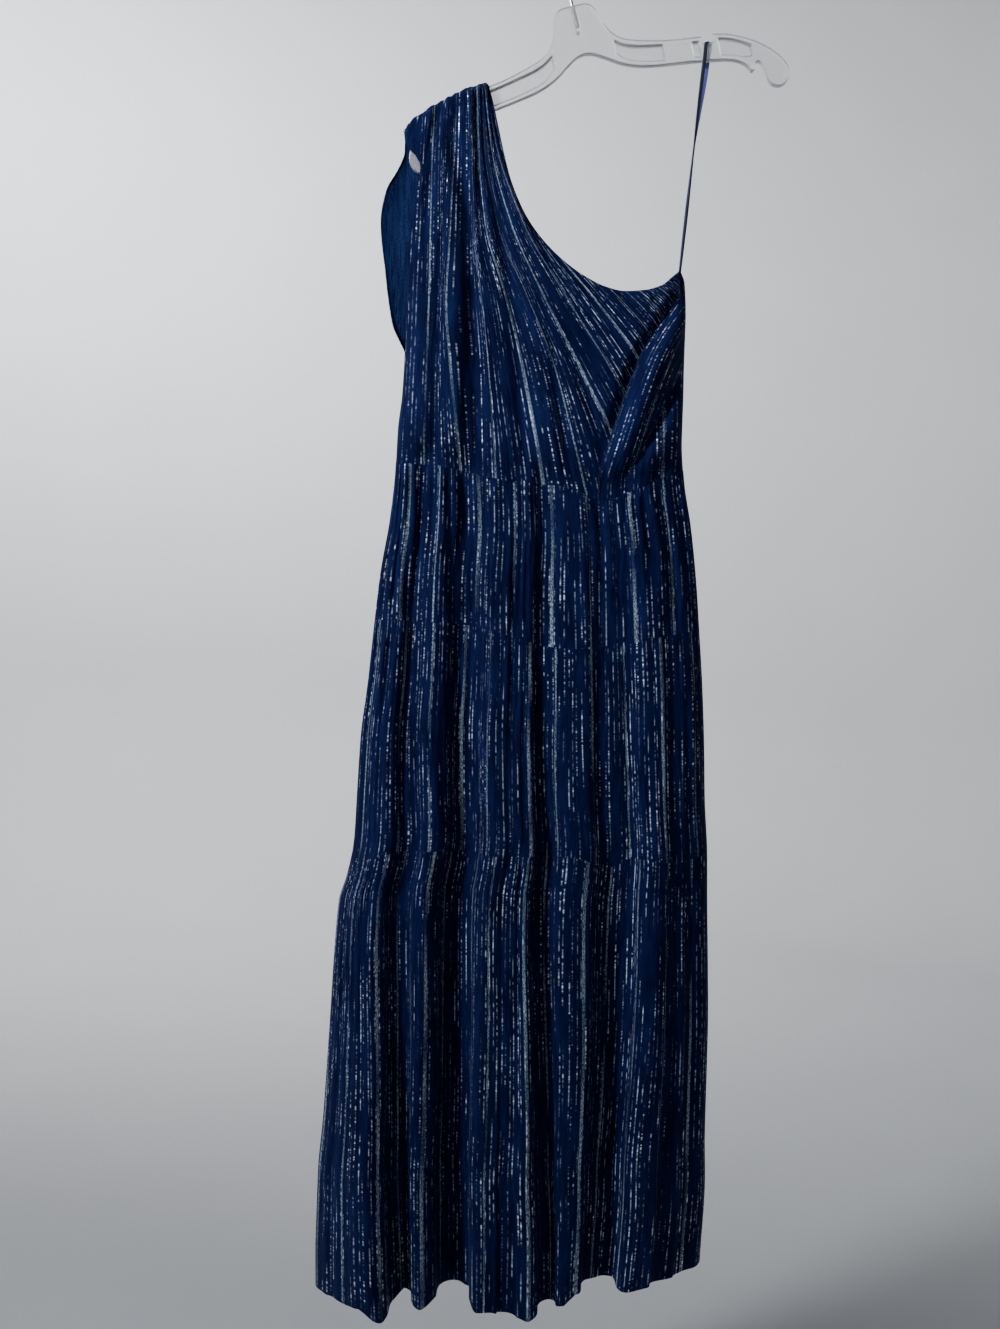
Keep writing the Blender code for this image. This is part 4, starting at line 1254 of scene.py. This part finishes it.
# %% Stage
def make_cove(floor_z=-1.78, reach=3.9, radius=0.9, top=2.6):
    """A floor that curves up into a wall all round, from one profile that is spun."""
    shape = bmesh.new()
    profile = [(0, floor_z), (reach - radius, floor_z)]
    for step in range(1, 13):
        angle = math.radians(90 * step / 12)
        away = reach - radius + radius * math.sin(angle)
        profile.append((away, floor_z + radius - radius * math.cos(angle)))
    profile.append((reach, top))
    line = [shape.verts.new((0, y, z)) for y, z in profile]
    edges = [shape.edges.new(pair) for pair in zip(line, line[1:])]
    turn = {"axis": (0, 0, 1), "cent": (0, 0, 0), "angle": 2 * math.pi, "steps": 64}
    bmesh.ops.spin(shape, geom=line + edges, use_merge=True, **turn)
    bmesh.ops.recalc_face_normals(shape, faces=shape.faces)
    obj = from_shape("pale_cove", shape)
    obj.data.shade_smooth()
    return obj


def matt_paint():
    """Matt wall paint, rolled on: pale grey, a little uneven in tone over 300 mm."""
    made, tree, shader = new_material("matt_wall_paint")
    place = add(tree, "TexCoord", output="Object")
    mottle = add(tree, "TexNoise", place, named={"Scale": 3, "Detail": 4})
    tone = layered(tree, linear("#b2b4b6"), [(mottle, linear("#babbbd"))])
    join(shader, {"Base Color": tone, "Roughness": 0.9})
    return made


cove = make_cove()
cove.data.materials.append(matt_paint())
print("cove points:", len(cove.data.vertices))

# %% [markdown]
# ## Light
# The photo's light comes from above and from the left, and is soft. A near key light
# there gives each fold a lit and a dark side, and leaves the hem darker. Two lights
# brighten the wall behind, more on the left as in the photo, and three do the same
# for the walls that only other views show. A bright world could light it all, but
# from every side at once, and the folds would look flat.

# %% Lights
# name, place, what it faces, size, watts, colour, beam in degrees
LIGHTS = (
    ("key", (-1.45, -1.05, 0.5), (0, 0, -0.45), 0.35, 41, "#f6f8ff", 150),
    ("fill", (1.5, -2.4, -0.2), (0, 0, -0.7), 1.4, 0.5, "#eef3ff", 180),
    ("wall left", (-1.7, 1.2, 1.5), (-0.9, 3.9, 0.5), 1.6, 206, "#fbfdff", 150),
    ("wall right", (1.7, 1.5, 0.8), (1.2, 3.9, 0.2), 1.6, 6, "#fbfdff", 150),
    ("left side of the cove", (-1.7, -0.9, 1.7), (-3.9, -0.5, 0.3), 1.4, 34, "#fbfdff", 150),
    ("right side of the cove", (1.7, -0.7, 1.7), (3.9, -0.4, 0.3), 1.4, 16, "#fbfdff", 150),
    ("behind the camera", (0.2, -1.9, 2.0), (0.1, -3.9, 0.1), 1.4, 9, "#fbfdff", 150),
)
for name, place, target, size, power, colour, beam in LIGHTS:
    lamp = bpy.data.lights.new(name, "AREA")
    lamp.shape = "DISK"
    lamp.spread = math.radians(beam)
    lamp.size = size
    lamp.energy = power
    lamp.color = linear(colour)[:3]
    light = in_scene(name, lamp)
    light.location = place
    direction = Vector(target) - Vector(place)
    light.rotation_euler = direction.to_track_quat("-Z", "Y").to_euler()
    light.visible_camera = False

world = bpy.data.worlds.new("studio")
world.use_nodes = True
join(world.node_tree.nodes["Background"], {"Color": linear("#cfd3d6"), "Strength": 0.06})
bpy.context.scene.world = world
print("lights:", len(LIGHTS))

# %% [markdown]
# ## The photo's camera
# The camera looks level, a little below the middle of the dress, and is rolled by two
# degrees as the photo is. Its lens and place were fitted to the photo's outline.

# %% Camera
CAMERA_PLACE = (-0.0402, -1.30, -0.8005)
CAMERA_ROLL = -2
lens = bpy.data.cameras.new("photo_camera")
lens.sensor_fit = "VERTICAL"
lens.sensor_height = 36
lens.lens = 31.84
camera = in_scene("photo_camera", lens)
camera.location = CAMERA_PLACE
camera.rotation_euler = (math.radians(90), math.radians(CAMERA_ROLL), 0)
bpy.context.scene.camera = camera
print("camera at", tuple(round(v, 3) for v in camera.location))
